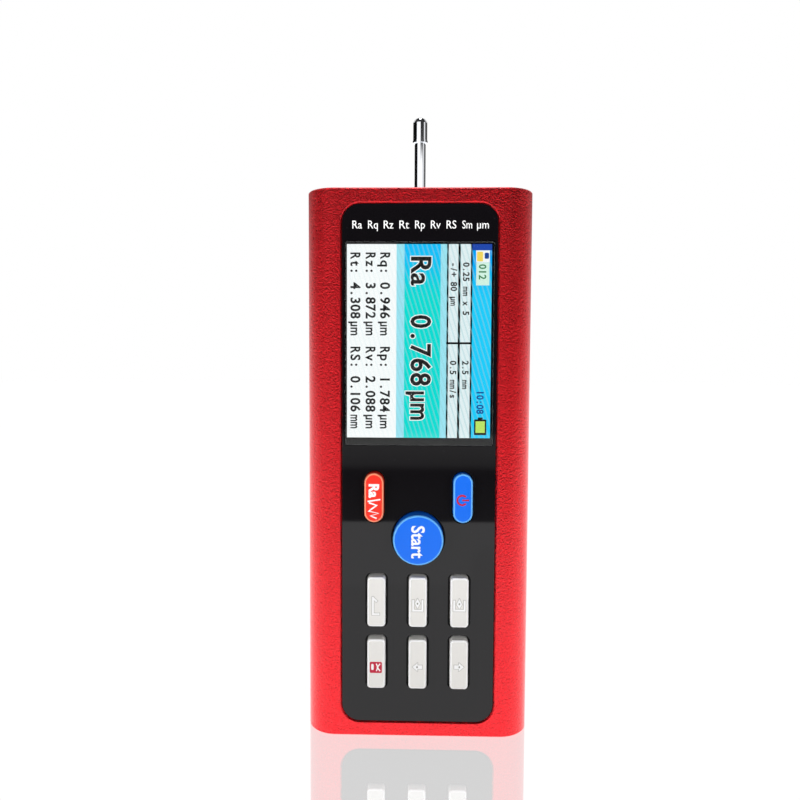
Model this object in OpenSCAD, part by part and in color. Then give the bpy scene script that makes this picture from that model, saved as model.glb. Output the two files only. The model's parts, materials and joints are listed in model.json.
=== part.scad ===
// Hand-held surface roughness tester: an extruded aluminium tube with a
// recessed front panel, nine keys, and a motor-driven pickup at the top end.
// The tester stands on its lower end, with its front towards -Y.

/* [Housing] */
// Width of the tube across the front
housing_w = 57.5; // [57:0.5:62]
// Depth of the tube, front face to back face
housing_d = 46.5; // [45.5:0.5:52]
// Length of the tube
housing_h = 140; // [138:1:156]
// Radius of the two long front edges
front_edge_r = 7.5; // [5:0.5:9]
// Radius of the two long back edges
back_edge_r = 5; // [4:0.5:6]
// Thickness of the side walls
side_wall = 2.6; // [2.2:0.1:3]
// Thickness of the back wall
back_wall = 2.6; // [2.2:0.1:3.2]
// Chamfer round both ends
end_chamfer = 0.3; // [0.2:0.1:1.2]
// Radius of the screw channels in the tube
channel_r = 3.2; // [3.1:0.1:3.5]

/* [End caps] */
// Thickness of each end cap
cap_t = 3; // [2.8:0.1:4]
// How far each cap lies inside the end of the tube
cap_recess = 0.6; // [0.4:0.1:1.2]
// Radius of a cap screw's shank
cap_screw_r = 1.25; // [1:0.05:1.5]

/* [Front panel] */
// Width of the panel
panel_w = 38.8; // [38.6:0.1:41]
// Bare metal above and below the panel
panel_margin = 4; // [3.4:0.1:4.6]
// Radius of the panel's corners
panel_r = 4.6; // [3:0.1:6]
// Thickness of the panel
panel_t = 1.2; // [1:0.1:1.6]
// How far the panel lies below the front face
panel_sink = 0.15; // [0.1:0.05:0.4]
// Metal left behind the panel's edge
lip_t = 0.9; // [0.7:0.1:1.4]
// Chamfer round the panel's pocket
pocket_chamfer = 0.4; // [0.2:0.1:0.6]

/* [Display] */
// Width of the lit area
screen_w = 36.72; // [35:0.02:37]
// Height of the lit area
screen_h = 48.96; // [47:0.02:49.2]
// Panel above the lit area
screen_top_gap = 9.5; // [9:0.1:10]
// Clear window beyond the lit area, at the sides and the top
window_margin = 0.3; // [0.2:0.05:0.5]
// Clear window beyond the lit area, at the bottom
window_foot = 1.8; // [1:0.1:2]
// Thickness of the display module
module_t = 2.4; // [2:0.1:3]

/* [Keys] */
// Width of an oval key
oval_w = 4.9; // [4.4:0.1:5.6]
// Height of an oval key
oval_h = 12.5; // [11:0.1:13.2]
// Distance of an oval key from the middle
oval_x = 11.2; // [11:0.1:12]
// How far an oval key stands out
oval_proud = 1.8; // [1.2:0.1:2.2]
// Diameter of the round key
start_d = 12.7; // [11:0.05:13]
// How far the round key stands out
start_proud = 3.2; // [2.4:0.1:3.6]
// Height of the oval keys' middle over the round key's middle
start_drop = 10.4; // [10:0.1:11.4]
// Width of a straight key
bar_w = 4.6; // [4.2:0.1:5.4]
// Bare panel below the lowest keys
key_foot_gap = 9.35; // [7:0.05:12]
// Corner radius of a straight key
bar_r = 0.9; // [0.7:0.1:1.4]
// How far a straight key stands out
bar_proud = 1.7; // [1.2:0.1:2]
// Distance between the columns of straight keys
bar_pitch = 10.55; // [10:0.05:10.8]
// Gap between the rows of straight keys
bar_gap = 3.3; // [2.9:0.05:3.4]
// Rounding of a key's front edge
key_edge = 0.5; // [0.3:0.1:0.7]
// Travel of a key
key_travel = 0.9; // [0.6:0.05:1]

/* [Traverse drive] */
// Longest stroke of the pickup
traverse = 17.5; // [12.5:0.5:20]
// Distance of the pickup's pivot below the top end
pivot_drop = 40; // [38:0.5:42]
// Distance of the pickup's axis from the back wall
pickup_inset = 4.6; // [4.4:0.1:5]
// Distance between the pickup's axis and the lead screw
screw_inset = 8.8; // [8.6:0.1:9.4]
// Distance of a guide rod from the lead screw
rod_x = 12; // [11:0.5:13]
// Radius of a guide rod
rod_r = 2; // [1.6:0.1:2.2]
// Radius of the lead screw
screw_r = 2; // [1.8:0.1:2.3]
// Length of the carriage along the rods
carriage_h = 14; // [13:0.5:15]
// Radius of the gear motor
motor_r = 6; // [5:0.25:6.25]

/* [Pickup] */
// How far the pickup stands out of the top end
pickup_reach = 29.3; // [28:0.1:32]
// Radius of the pickup's barrel
barrel_r = 2.5; // [2.4:0.1:2.6]
// Radius of the slim neck
neck_r = 1.65; // [1.5:0.05:1.7]
// Radius of the skid head
head_r = 2.1; // [2:0.05:2.4]
// Length of the skid head
head_h = 7.3; // [6.5:0.1:8]
// How far the skid lies from the pickup's axis
skid_reach = 3.2; // [2.9:0.1:3.4]

/* [Lower end] */
// Thread radius of the stand socket in the back
stand_r = 2.1; // [1.6:0.1:2.5]
// Depth of the stand socket's thread
stand_depth = 7; // [5:0.5:7.5]
// Height of the stand socket
stand_z = 30; // [26:1:34]
// Distance of the data socket from the middle
port_x = 9; // [8:0.5:11]
// Travel of the battery switch
switch_travel = 2; // [1.5:0.1:2.4]

/* [Hidden] */
$fn = 64;

// Clearances: loose fit, sliding fit, running fit, and overlap of a cutter
loose = 0.3;
snug = 0.1;
running = 0.04;
seat = 0.02;
cut = 1;

// Depth of the tube's faces, with the whole part centred on the origin
front_y = (start_proud - housing_d) / 2;
back_y = front_y + housing_d;
pocket_depth = panel_sink + panel_t;
front_wall = pocket_depth + lip_t;
inner_front_y = front_y + front_wall;
inner_back_y = back_y - back_wall;
inner_w = housing_w - 2 * side_wall;
inner_d = inner_back_y - inner_front_y;
inner_mid_y = (inner_front_y + inner_back_y) / 2;
corner_web = 1;
inner_front_r = front_edge_r - side_wall - corner_web;
inner_back_r = back_edge_r - side_wall;

// Ends of the space between the caps
cap_seat = cap_recess + cap_t;
floor_z = cap_seat;
ceiling_z = housing_h - cap_seat;
cap_gap = 0.15;
cap_head_r = 2.3;
cap_head_h = 1.8;
cap_head_sink = 0.2;
cap_hex_r = 1.15;
cap_hex_depth = 1.1;
cap_screw_reach = 8;

// Panel and display, with z measured along the tube
panel_gap = 0.15;
panel_h = housing_h - 2 * panel_margin;
panel_z = housing_h / 2;
screen_z = panel_z + panel_h / 2 - screen_top_gap - screen_h / 2;
window_w = screen_w + 2 * window_margin;
window_h = screen_h + window_margin + window_foot;
window_z = screen_z + (window_margin - window_foot) / 2;
window_r = 0.5;
window_lip = 0.3;
window_air = 0.05;
module_side = 2.44;
module_foot = 2.8;
module_head = 6.2;
module_w = screen_w + 2 * module_side;
module_h = screen_h + module_foot + module_head;
module_z = screen_z + (module_head - module_foot) / 2;
glass_t = 0.7;
glass_side = 1;
glass_foot = 2.2;
glass_w = screen_w + 2 * glass_side;
glass_h = screen_h + glass_side + glass_foot;
glass_z = screen_z + (glass_side - glass_foot) / 2;
holder_wall = 0.5;
holder_back = 1.6;
holder_step = 0.75;
holder_start = front_wall + holder_step;
holder_foot_z = module_z - module_h / 2 - holder_wall;

// Boards lie in pairs of ribs along the tube
board_t = 1.6;
board_depth = front_wall + module_t + holder_back;
board_back = board_depth + board_t;
board_end_gap = 0.4;
rib_t = 1.2;
rib_reach = 2;
slot_side = 0.4;
slot_w = inner_w - 2 * slot_side;
slot_h = ceiling_z - floor_z - 2 * board_end_gap;
slot_z = (ceiling_z + floor_z) / 2;
channel_inset = 3;
channel_rib_gap = 0.5;
channel_x = inner_w / 2 - channel_inset;
channel_front_y = front_y + board_back + snug + rib_t + channel_rib_gap + channel_r;
channel_back_y = inner_back_y - channel_inset;
channels = [for (x = [-channel_x, channel_x], y = [channel_front_y, channel_back_y]) [x, y]];

// Parts on the back of the board, set out from the middle of the display
processor_w = 14;
processor_t = 1.4;
memory_w = 8;
memory_h = 12;
memory_t = 1;
memory_x = 14;
converter_w = 7;
converter_t = 0.9;
converter_x = 13;
converter_drop = 3;
header_w = 11;
header_h = 5;
header_t = 2.6;
header_x = 12;
header_drop = 19;
ribbon_w = 22;
ribbon_h = 4;
ribbon_t = 1.8;
ribbon_rise = 22;
buzzer_r = 4.5;
buzzer_h = 3.4;
buzzer_inset = 10.4;
buzzer_rise = 11;

// Keys hang from the frame behind the panel and are placed down from the display
key_margin = 2;
frame_rim = 2.5;
frame_wall = 1.5;
frame_display_gap = 0.9;
key_slide = 0.2;
panel_key_gap = 0.6;
flange_t = 0.8;
flange_rim = 1;
flange_air = 0.05;
pill_t = 0.2;
pill_r = 1.8;
start_bar_gap = 3.6;
frame_back = board_depth - flange_air - flange_t - pill_t - key_travel - snug;
flange_depth = frame_back + flange_air;
oval_z = holder_foot_z - frame_display_gap - frame_rim - key_margin - oval_h / 2;
start_z = oval_z - start_drop;
bar_ceiling_z = start_z - start_d / 2 - start_bar_gap;
bar_floor_z = panel_z - panel_h / 2 + key_foot_gap;
bar_h = (bar_ceiling_z - bar_floor_z - bar_gap) / 2;
bar_top_z = bar_ceiling_z - bar_h / 2;
bar_low_z = bar_floor_z + bar_h / 2;
key_reach_x = max(oval_x + oval_w / 2, bar_pitch + bar_w / 2);
key_area_w = 2 * (key_reach_x + key_margin);
key_area_h = oval_z + oval_h / 2 - bar_low_z + bar_h / 2 + 2 * key_margin;
key_area_z = oval_z + oval_h / 2 + key_margin - key_area_h / 2;
frame_r = 2;

// Drive, set out from the back wall and from the pickup's pivot
pickup_y = inner_back_y - pickup_inset;
screw_y = pickup_y - screw_inset;
pivot_z = housing_h - pivot_drop;
chassis_back_gap = 4.5;
chassis_t = 2;
chassis_back_y = screw_y - chassis_back_gap;
chassis_depth = chassis_back_y - chassis_t - front_y;
carriage_room = 6;
bulkhead_t = 4;
bulkhead_reach = 4.5;
bulkhead_side = 3;
bulkhead_w = 2 * (rod_x + rod_r + bulkhead_side);
upper_z = pivot_z + carriage_h / 2 + carriage_room;
lower_z = pivot_z - traverse - carriage_h / 2 - carriage_room - bulkhead_t;
bearing_r = 3.5;
bearing_flange_r = 4.4;
bearing_flange_t = 1;
journal_r = 1.5;
coupling_r = 3.6;
coupling_h = 10;
coupling_gap = 0.6;
coupling_z = lower_z - coupling_gap - coupling_h;
motor_plate_t = 3;
motor_plate_side = 1.5;
motor_plate_w = 2 * (motor_r + motor_plate_side);
motor_plate_z = coupling_z - coupling_gap - motor_plate_t;
pilot_r = 3;
pilot_h = 1.5;
gearbox_h = 13;
motor_can_h = 19;
motor_seam = 0.6;
motor_tail_r = 2;
motor_tail_h = 1.5;
motor_h = gearbox_h + motor_seam + motor_can_h + motor_tail_h;
motor_window_end = 1;
shaft_tail = 4;
motor_screw_x = 4.4;
motor_screw_r = 0.8;
motor_screw_head_r = 1.3;
motor_screw_head_h = 0.5;
motor_screw_reach = 3;

// Carriage and its fork
carriage_side = 4.5;
carriage_w = 2 * (rod_x + carriage_side);
carriage_air = 0.7;
carriage_front_y = chassis_back_y + carriage_air;
carriage_half_t = 4;
carriage_back_y = screw_y + carriage_half_t;
bush_wall = 1;
bush_r = rod_r + bush_wall;
nut_wall = 1.5;
nut_r = screw_r + nut_wall;
nut_flange_reach = 0.7;
nut_flange_r = nut_r + nut_flange_reach;
nut_flange_t = 1.5;
nut_h = 10;
sheath_wall = 1;
sheath_r = barrel_r + running + sheath_wall;
ear_gap = 0.4;
ear_t = 2.2;
ear_r = 2.4;
ear_x = sheath_r + ear_gap;
pivot_r = 1;
pivot_bite = 0.7;

// Pickup, from its pivot up to its tip
tip_z = housing_h + pickup_reach;
sheath_half = 8;
sheath_floor = 1.5;
block_h = 4;
barrel_foot_z = pivot_z - sheath_half + sheath_floor + block_h + snug;
barrel_h = 26.4;
barrel_top_z = barrel_foot_z + barrel_h;
barrel_bore_r = neck_r + seat;
barrel_chamfer = 0.4;
carrier_h = 2;
pin_count = 5;
pin_ring_r = 0.9;
pin_r = 0.25;
pin_bite = 3;
neck_bite = 4;
neck_bore_r = 0.95;
neck_foot_z = barrel_top_z - neck_bite;
head_bite = 2.5;
head_lip_h = 0.7;
head_lip_out = 0.12;
head_round = 1.5;
head_foot_z = tip_z - head_h;
head_wall = 1;
stylus_drop = 3.8;
stylus_z = tip_z - stylus_drop;
skid_r = 1.9;
stylus_hole_r = 0.5;
stylus_tip_out = 0.15;
stylus_stem_r = 0.25;
stylus_cone_h = 0.5;
lever_r = 0.5;
lever_hub_r = 0.9;
lever_hub_w = 1.6;
lever_pin_r = 0.3;
lever_pin_drop = 6;
lever_pin_sink = 0.2;
lever_pin_z = barrel_top_z - lever_pin_drop;
core_r = 0.8;
core_h = 5;
core_drop = 11;
coil_wall = 0.45;
coil_h = 3;
coil_gap = 0.8;

// Lower end
port_w = 7.7;
port_d = 3.9;
port_h = 9;
port_wall = 0.4;
tongue_w = 4.6;
tongue_t = 1;
port_z = cap_recess + loose;
switch_w = 8.6;
switch_d = 4;
switch_h = 4.4;
switch_z = floor_z + board_end_gap;
slider_w = 2;
slider_d = 1.8;
slider_bite = 1.2;
slider_foot_z = cap_recess + loose;
slider_y = front_y + board_back + switch_d / 2;
battery_w = 34;
battery_h = 50;
battery_t = 9.5;
battery_r = 3;
battery_z = 40;
stand_wall = 1.4;
stand_r_out = stand_r + stand_wall;
stand_flange_reach = 1.6;
stand_flange_r = stand_r_out + stand_flange_reach;
stand_flange_t = 1.5;
stand_end_wall = 1;
stand_sink = 0.1;

// Colours
red_metal = [0.78, 0.1, 0.14];
black_plastic = [0.07, 0.07, 0.08];
panel_black = [0.13, 0.13, 0.14];
key_white = [0.88, 0.87, 0.85];
key_blue = [0.16, 0.32, 0.85];
key_red = [0.95, 0.3, 0.24];
board_green = [0.05, 0.3, 0.16];
sleeve_blue = [0.25, 0.4, 0.6];
screen_teal = [0.2, 0.6, 0.65];
clear = [0.75, 0.8, 0.85, 0.35];
steel = [0.72, 0.73, 0.75];
dark_steel = [0.35, 0.36, 0.38];
aluminium = [0.8, 0.81, 0.83];
brass = [0.8, 0.62, 0.28];
bronze = [0.66, 0.46, 0.26];

// Outline helpers

// Rectangle about the origin, with one corner radius on the low side and one on the high side
module rounded_rect(w, h, r_low, r_high) {
    translate([-w / 2, -h / 2 + r_low]) square([w, h - r_low - r_high]);
    if (w > 2 * r_low)
        translate([-w / 2 + r_low, -h / 2]) square([w - 2 * r_low, r_low]);
    if (w > 2 * r_high)
        translate([-w / 2 + r_high, h / 2 - r_high]) square([w - 2 * r_high, r_high]);
    for (side = [-1, 1]) {
        translate([side * (w / 2 - r_low), -h / 2 + r_low]) circle(r_low);
        translate([side * (w / 2 - r_high), h / 2 - r_high]) circle(r_high);
    }
}

// Carries a profile round that rectangle's edge: x is outward and y is up
module edge_sweep(w, h, r_low, r_high) {
    side = h - r_low - r_high;
    side_mid = (r_low - r_high) / 2;
    spans = [
        [w - 2 * r_low, [0, -h / 2], 0],
        [side, [w / 2, side_mid], 90],
        [w - 2 * r_high, [0, h / 2], 180],
        [side, [-w / 2, side_mid], 270]
    ];
    corners = [
        [r_low, [w / 2 - r_low, -h / 2 + r_low], 270],
        [r_high, [w / 2 - r_high, h / 2 - r_high], 0],
        [r_high, [-w / 2 + r_high, h / 2 - r_high], 90],
        [r_low, [-w / 2 + r_low, -h / 2 + r_low], 180]
    ];
    for (span = spans)
        if (span[0] > 0)
            translate(span[1]) rotate(span[2]) rotate([90, 0, 0]) rotate([0, -90, 0])
                linear_extrude(span[0], center = true) children();
    for (corner = corners)
        translate(corner[1]) rotate(corner[2]) rotate_extrude(angle = 90)
            translate([corner[0], 0]) children();
}

// Cutter profile that rounds an upper outer edge
module round_edge(r) {
    translate([-r, -r]) difference() {
        square(r + cut);
        circle(r);
    }
}

// Cutter profile that chamfers an upper outer edge
module chamfer_edge(c) {
    polygon([[-c, 0], [cut, -c - cut], [cut, cut], [-c, cut]]);
}

// Cutter profile that chamfers the mouth of a pocket
module mouth_edge(c) {
    polygon([[-c, -c], [0, -c], [c + cut, cut], [-c, cut]]);
}

// Frame that looks at the front: x across, y up the tube, z out of the face
module facing(depth) {
    translate([0, front_y + depth, 0]) rotate([90, 0, 0]) children();
}

// Plate between two depths below the front face, from an outline in x and z
module slab(from_depth, to_depth) {
    facing(to_depth) linear_extrude(to_depth - from_depth) children();
}

// Rod along X through the middle of a place
module cross_rod(r, length) {
    rotate([0, 90, 0]) cylinder(r = r, h = length, center = true);
}

// Housing and caps

module inner_outline(gap) {
    translate([0, inner_mid_y])
        rounded_rect(inner_w - 2 * gap, inner_d - 2 * gap, inner_front_r - gap, inner_back_r - gap);
}

// Two pairs of ribs that hold the long edges of a board
module slot_ribs(depth, thickness) {
    for (side = [-1, 1], rib_depth = [depth - snug - rib_t, depth + thickness + snug])
        translate([side * (inner_w / 2 + cut / 2 - rib_reach / 2), front_y + rib_depth + rib_t / 2])
            square([rib_reach + cut, rib_t], center = true);
}

module tube_outline() {
    difference() {
        translate([0, (front_y + back_y) / 2])
            rounded_rect(housing_w, housing_d, front_edge_r, back_edge_r);
        difference() {
            inner_outline(0);
            slot_ribs(board_depth, board_t);
            slot_ribs(chassis_depth, chassis_t);
            for (place = channels) translate(place) circle(channel_r);
        }
        for (place = channels) translate(place) circle(cap_screw_r + running);
    }
}

module panel_outline(gap) {
    translate([0, panel_z])
        rounded_rect(panel_w + 2 * gap, panel_h + 2 * gap, panel_r + gap, panel_r + gap);
}

module window_outline(gap) {
    translate([0, window_z])
        rounded_rect(window_w + 2 * gap, window_h + 2 * gap, window_r, window_r);
}

module key_area_outline(gap) {
    translate([0, key_area_z])
        rounded_rect(key_area_w + 2 * gap, key_area_h + 2 * gap, frame_r, frame_r);
}

module tube_end_cut() {
    translate([0, 0, -cap_seat]) linear_extrude(cap_seat + cut) inner_outline(0);
    translate([0, (front_y + back_y) / 2, 0])
        edge_sweep(housing_w, housing_d, front_edge_r, back_edge_r) chamfer_edge(end_chamfer);
}

module housing() {
    color(red_metal) difference() {
        linear_extrude(housing_h) tube_outline();
        translate([0, 0, housing_h]) tube_end_cut();
        mirror([0, 0, 1]) tube_end_cut();
        slab(-cut, pocket_depth) panel_outline(panel_gap);
        facing(0) translate([0, panel_z, 0])
            edge_sweep(panel_w + 2 * panel_gap, panel_h + 2 * panel_gap,
                panel_r + panel_gap, panel_r + panel_gap) mouth_edge(pocket_chamfer);
        slab(0, front_wall + cut) window_outline(window_lip);
        slab(0, front_wall + cut) key_area_outline(0);
        translate([0, back_y + cut, stand_z]) rotate([90, 0, 0])
            cylinder(r = stand_r_out + seat, h = back_wall + 2 * cut);
    }
}

// Plate of a cap, outer face up at z = 0, with counterbored screw holes
module cap_plate() {
    difference() {
        translate([0, 0, -cap_t]) linear_extrude(cap_t) inner_outline(cap_gap);
        for (place = channels) translate(place) {
            translate([0, 0, -cap_t - cut]) cylinder(r = cap_screw_r + snug, h = cap_t + 2 * cut);
            translate([0, 0, -cap_head_h - cap_head_sink]) cylinder(r = cap_head_r + snug, h = cap_t);
        }
    }
}

// Four socket-head screws below a cap's outer face
module cap_screw_set() {
    head_top = -cap_head_sink;
    for (place = channels) translate([place[0], place[1], head_top]) difference() {
        union() {
            translate([0, 0, -cap_head_h]) cylinder(r = cap_head_r, h = cap_head_h);
            translate([0, 0, -cap_t - cap_screw_reach]) cylinder(r = cap_screw_r, h = cap_t + cap_screw_reach);
        }
        translate([0, 0, -cap_hex_depth]) cylinder(r = cap_hex_r, h = cap_head_h, $fn = 6);
    }
}

module on_top_end() {
    translate([0, 0, housing_h - cap_recess]) children();
}

module on_lower_end() {
    translate([0, 0, cap_recess]) mirror([0, 0, 1]) children();
}

// The pickup leaves through a notch that is open towards the back wall
module top_cap() {
    notch_r = barrel_r + 2 * loose;
    color(black_plastic) difference() {
        on_top_end() cap_plate();
        translate([0, pickup_y, ceiling_z - cut]) {
            cylinder(r = notch_r, h = cap_seat + 2 * cut);
            translate([-notch_r, 0, 0]) cube([2 * notch_r, pickup_inset + cut, cap_seat + 2 * cut]);
        }
    }
}

module bottom_cap() {
    port_y = front_y + board_back + port_d / 2;
    slot = slider_w + switch_travel + 2 * loose;
    color(black_plastic) difference() {
        on_lower_end() cap_plate();
        translate([-port_x, port_y, cap_seat / 2])
            cube([port_w + 2 * loose, port_d + 2 * loose, cap_seat + 2 * cut], center = true);
        translate([port_x, slider_y, cap_seat / 2])
            cube([slot, slider_d + 2 * loose, cap_seat + 2 * cut], center = true);
    }
}

module top_cap_screws() {
    color(steel) on_top_end() cap_screw_set();
}

module bottom_cap_screws() {
    color(steel) on_lower_end() cap_screw_set();
}

// Panel and display

// Places the nine keys: children get an outline that is grown by gap
module key_outlines(gap) {
    for (side = [-1, 1]) translate([side * oval_x, oval_z])
        rounded_rect(oval_w + 2 * gap, oval_h + 2 * gap, oval_w / 2 + gap, oval_w / 2 + gap);
    translate([0, start_z]) circle(start_d / 2 + gap);
    for (column = [-1, 0, 1], z = [bar_top_z, bar_low_z]) translate([column * bar_pitch, z])
        rounded_rect(bar_w + 2 * gap, bar_h + 2 * gap, bar_r + gap, bar_r + gap);
}

module front_panel() {
    color(panel_black) slab(panel_sink, pocket_depth) difference() {
        panel_outline(0);
        window_outline(snug);
        key_outlines(panel_key_gap);
    }
}

module display_window() {
    color(clear) slab(panel_sink, front_wall - window_air) window_outline(0);
}

module glass_outline(gap) {
    translate([0, glass_z]) square([glass_w + 2 * gap, glass_h + 2 * gap], center = true);
}

module module_outline(gap) {
    translate([0, module_z]) square([module_w + 2 * gap, module_h + 2 * gap], center = true);
}

module display_module() {
    color(dark_steel) difference() {
        slab(front_wall, front_wall + module_t) module_outline(0);
        slab(front_wall - cut, front_wall + glass_t) glass_outline(seat);
    }
}

module display_glass() {
    color(screen_teal) slab(front_wall, front_wall + glass_t) glass_outline(0);
}

module display_holder() {
    module_back = front_wall + module_t;
    color(black_plastic) difference() {
        slab(holder_start, board_depth) module_outline(holder_wall);
        slab(holder_start - cut, module_back) module_outline(seat);
    }
}

module key_frame() {
    color(black_plastic) difference() {
        union() {
            slab(pocket_depth, front_wall) key_area_outline(-snug);
            slab(front_wall, board_depth) key_area_outline(frame_rim);
        }
        slab(pocket_depth - cut, board_depth + cut) key_outlines(key_slide);
        slab(frame_back, board_depth + cut) key_area_outline(frame_rim - frame_wall);
    }
}

// Keys

// Flange that stops a key behind the frame, and the contact pill on it
module key_foot(w, h, r) {
    slab(flange_depth, flange_depth + flange_t)
        rounded_rect(w + 2 * flange_rim, h + 2 * flange_rim, r + flange_rim, r + flange_rim);
    slab(flange_depth + flange_t, flange_depth + flange_t + pill_t) circle(pill_r);
}

// Straight-sided or oval key with a rounded front edge
module long_key(x, z, w, h, r, proud) {
    translate([x, 0, z]) {
        difference() {
            slab(-proud, flange_depth) rounded_rect(w, h, r, r);
            facing(-proud) edge_sweep(w, h, r, r) round_edge(key_edge);
        }
        key_foot(w, h, r);
    }
}

module oval_key(side) {
    long_key(side * oval_x, oval_z, oval_w, oval_h, oval_w / 2, oval_proud);
}

module bar_key(column, z) {
    long_key(column * bar_pitch, z, bar_w, bar_h, bar_r, bar_proud);
}

module key_start() {
    color(key_blue) translate([0, 0, start_z]) {
        difference() {
            slab(-start_proud, flange_depth) circle(start_d / 2);
            facing(-start_proud) rotate_extrude() translate([start_d / 2, 0]) round_edge(key_edge);
        }
        slab(flange_depth, flange_depth + flange_t) circle(start_d / 2 + flange_rim);
        slab(flange_depth + flange_t, flange_depth + flange_t + pill_t) circle(2 * pill_r);
    }
}

module key_parameter() {
    color(key_red) oval_key(-1);
}

module key_power() {
    color(key_blue) oval_key(1);
}

module key_enter() {
    color(key_white) bar_key(-1, bar_top_z);
}

module key_page_down() {
    color(key_white) bar_key(0, bar_top_z);
}

module key_page_up() {
    color(key_white) bar_key(1, bar_top_z);
}

module key_menu() {
    color(key_white) bar_key(-1, bar_low_z);
}

module key_left() {
    color(key_white) bar_key(0, bar_low_z);
}

module key_right() {
    color(key_white) bar_key(1, bar_low_z);
}

// Electronics

module main_board() {
    color(board_green) slab(board_depth, board_back)
        translate([0, slot_z]) square([slot_w, slot_h], center = true);
}

// Package on the back of the board, placed from the middle of the display
module chip(x, rise, w, h, t) {
    slab(board_back, board_back + t) translate([x, screen_z + rise]) square([w, h], center = true);
}

module board_components() {
    color(dark_steel) {
        chip(0, 0, processor_w, processor_w, processor_t);
        chip(-memory_x, 0, memory_w, memory_h, memory_t);
        chip(converter_x, -converter_drop, converter_w, converter_w, converter_t);
        chip(0, ribbon_rise, ribbon_w, ribbon_h, ribbon_t);
        for (side = [-1, 1]) chip(side * header_x, -header_drop, header_w, header_h, header_t);
        slab(board_back, board_back + buzzer_h)
            translate([slot_w / 2 - buzzer_inset, screen_z + buzzer_rise]) circle(buzzer_r);
    }
}

// Open shell with a contact tongue, its mouth in the lower cap
module data_socket() {
    mid_y = front_y + board_back + port_d / 2;
    color(steel) translate([-port_x, mid_y, port_z]) {
        difference() {
            translate([-port_w / 2, -port_d / 2, 0]) cube([port_w, port_d, port_h]);
            translate([-port_w / 2 + port_wall, -port_d / 2 + port_wall, -cut])
                cube([port_w - 2 * port_wall, port_d - 2 * port_wall, port_h - port_wall + cut]);
        }
        translate([-tongue_w / 2, -tongue_t / 2, port_wall])
            cube([tongue_w, tongue_t, port_h - 2 * port_wall]);
    }
}

module switch_body() {
    slot = slider_w + switch_travel + 2 * loose;
    color(dark_steel) difference() {
        translate([port_x - switch_w / 2, front_y + board_back, switch_z])
            cube([switch_w, switch_d, switch_h]);
        translate([port_x, slider_y, switch_z])
            cube([slot, slider_d + 2 * snug, 2 * (slider_bite + loose)], center = true);
    }
}

// Rests at the end of its slot that isolates the battery
module switch_slider() {
    slider_h = switch_z + slider_bite - slider_foot_z;
    color(black_plastic)
        translate([port_x - switch_travel / 2, slider_y, slider_foot_z + slider_h / 2])
            cube([slider_w, slider_d, slider_h], center = true);
}

module battery_pack() {
    battery_back = chassis_depth;
    color(sleeve_blue) slab(battery_back - battery_t, battery_back)
        translate([0, battery_z]) rounded_rect(battery_w, battery_h, battery_r, battery_r);
}

// Blind threaded bush, flanged against the inside of the back wall
module stand_socket() {
    bush_h = stand_depth + stand_end_wall;
    color(brass) translate([0, back_y - stand_sink, stand_z]) rotate([90, 0, 0]) difference() {
        union() {
            cylinder(r = stand_r_out, h = bush_h);
            translate([0, 0, back_wall - stand_sink]) cylinder(r = stand_flange_r, h = stand_flange_t);
        }
        translate([0, 0, -cut]) cylinder(r = stand_r, h = stand_depth + cut);
    }
}

// Traverse drive

// Block that stands out from the chassis plate towards the back
module bulkhead(z, w, t) {
    translate([-w / 2, chassis_back_y, z])
        cube([w, chassis_back_gap + bulkhead_reach, t]);
}

module on_screw_axis(z) {
    translate([0, screw_y, z]) children();
}

module drive_chassis() {
    color(aluminium) difference() {
        union() {
            slab(chassis_depth, chassis_depth + chassis_t)
                translate([0, slot_z]) square([slot_w, slot_h], center = true);
            for (z = [lower_z, upper_z]) bulkhead(z, bulkhead_w, bulkhead_t);
            bulkhead(motor_plate_z, motor_plate_w, motor_plate_t);
        }
        slab(chassis_depth - cut, chassis_depth + chassis_t + cut)
            translate([-motor_r, motor_plate_z - motor_h - motor_window_end])
                square([2 * motor_r, motor_h + motor_window_end]);
        for (z = [lower_z, upper_z]) on_screw_axis(z - cut) {
            cylinder(r = bearing_r + seat, h = bulkhead_t + 2 * cut);
            for (side = [-1, 1]) translate([side * rod_x, 0, 0])
                cylinder(r = rod_r + seat, h = bulkhead_t + 2 * cut);
        }
        on_screw_axis(motor_plate_z - cut) {
            cylinder(r = pilot_r + seat, h = motor_plate_t + 2 * cut);
            for (side = [-1, 1]) translate([side * motor_screw_x, 0, 0])
                cylinder(r = motor_screw_r + seat, h = motor_plate_t + 2 * cut);
        }
    }
}

module guide_rods() {
    color(steel) for (side = [-1, 1]) translate([side * rod_x, screw_y, lower_z])
        cylinder(r = rod_r, h = upper_z + bulkhead_t - lower_z);
}

// Flanged bush with its flange up
module screw_bearing() {
    difference() {
        union() {
            translate([0, 0, -bulkhead_t]) cylinder(r = bearing_r, h = bulkhead_t);
            cylinder(r = bearing_flange_r, h = bearing_flange_t);
        }
        translate([0, 0, -bulkhead_t - cut])
            cylinder(r = journal_r + running, h = bulkhead_t + bearing_flange_t + 2 * cut);
    }
}

module screw_bearings() {
    color(bronze) {
        on_screw_axis(lower_z + bulkhead_t) screw_bearing();
        on_screw_axis(upper_z) mirror([0, 0, 1]) screw_bearing();
    }
}

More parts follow.
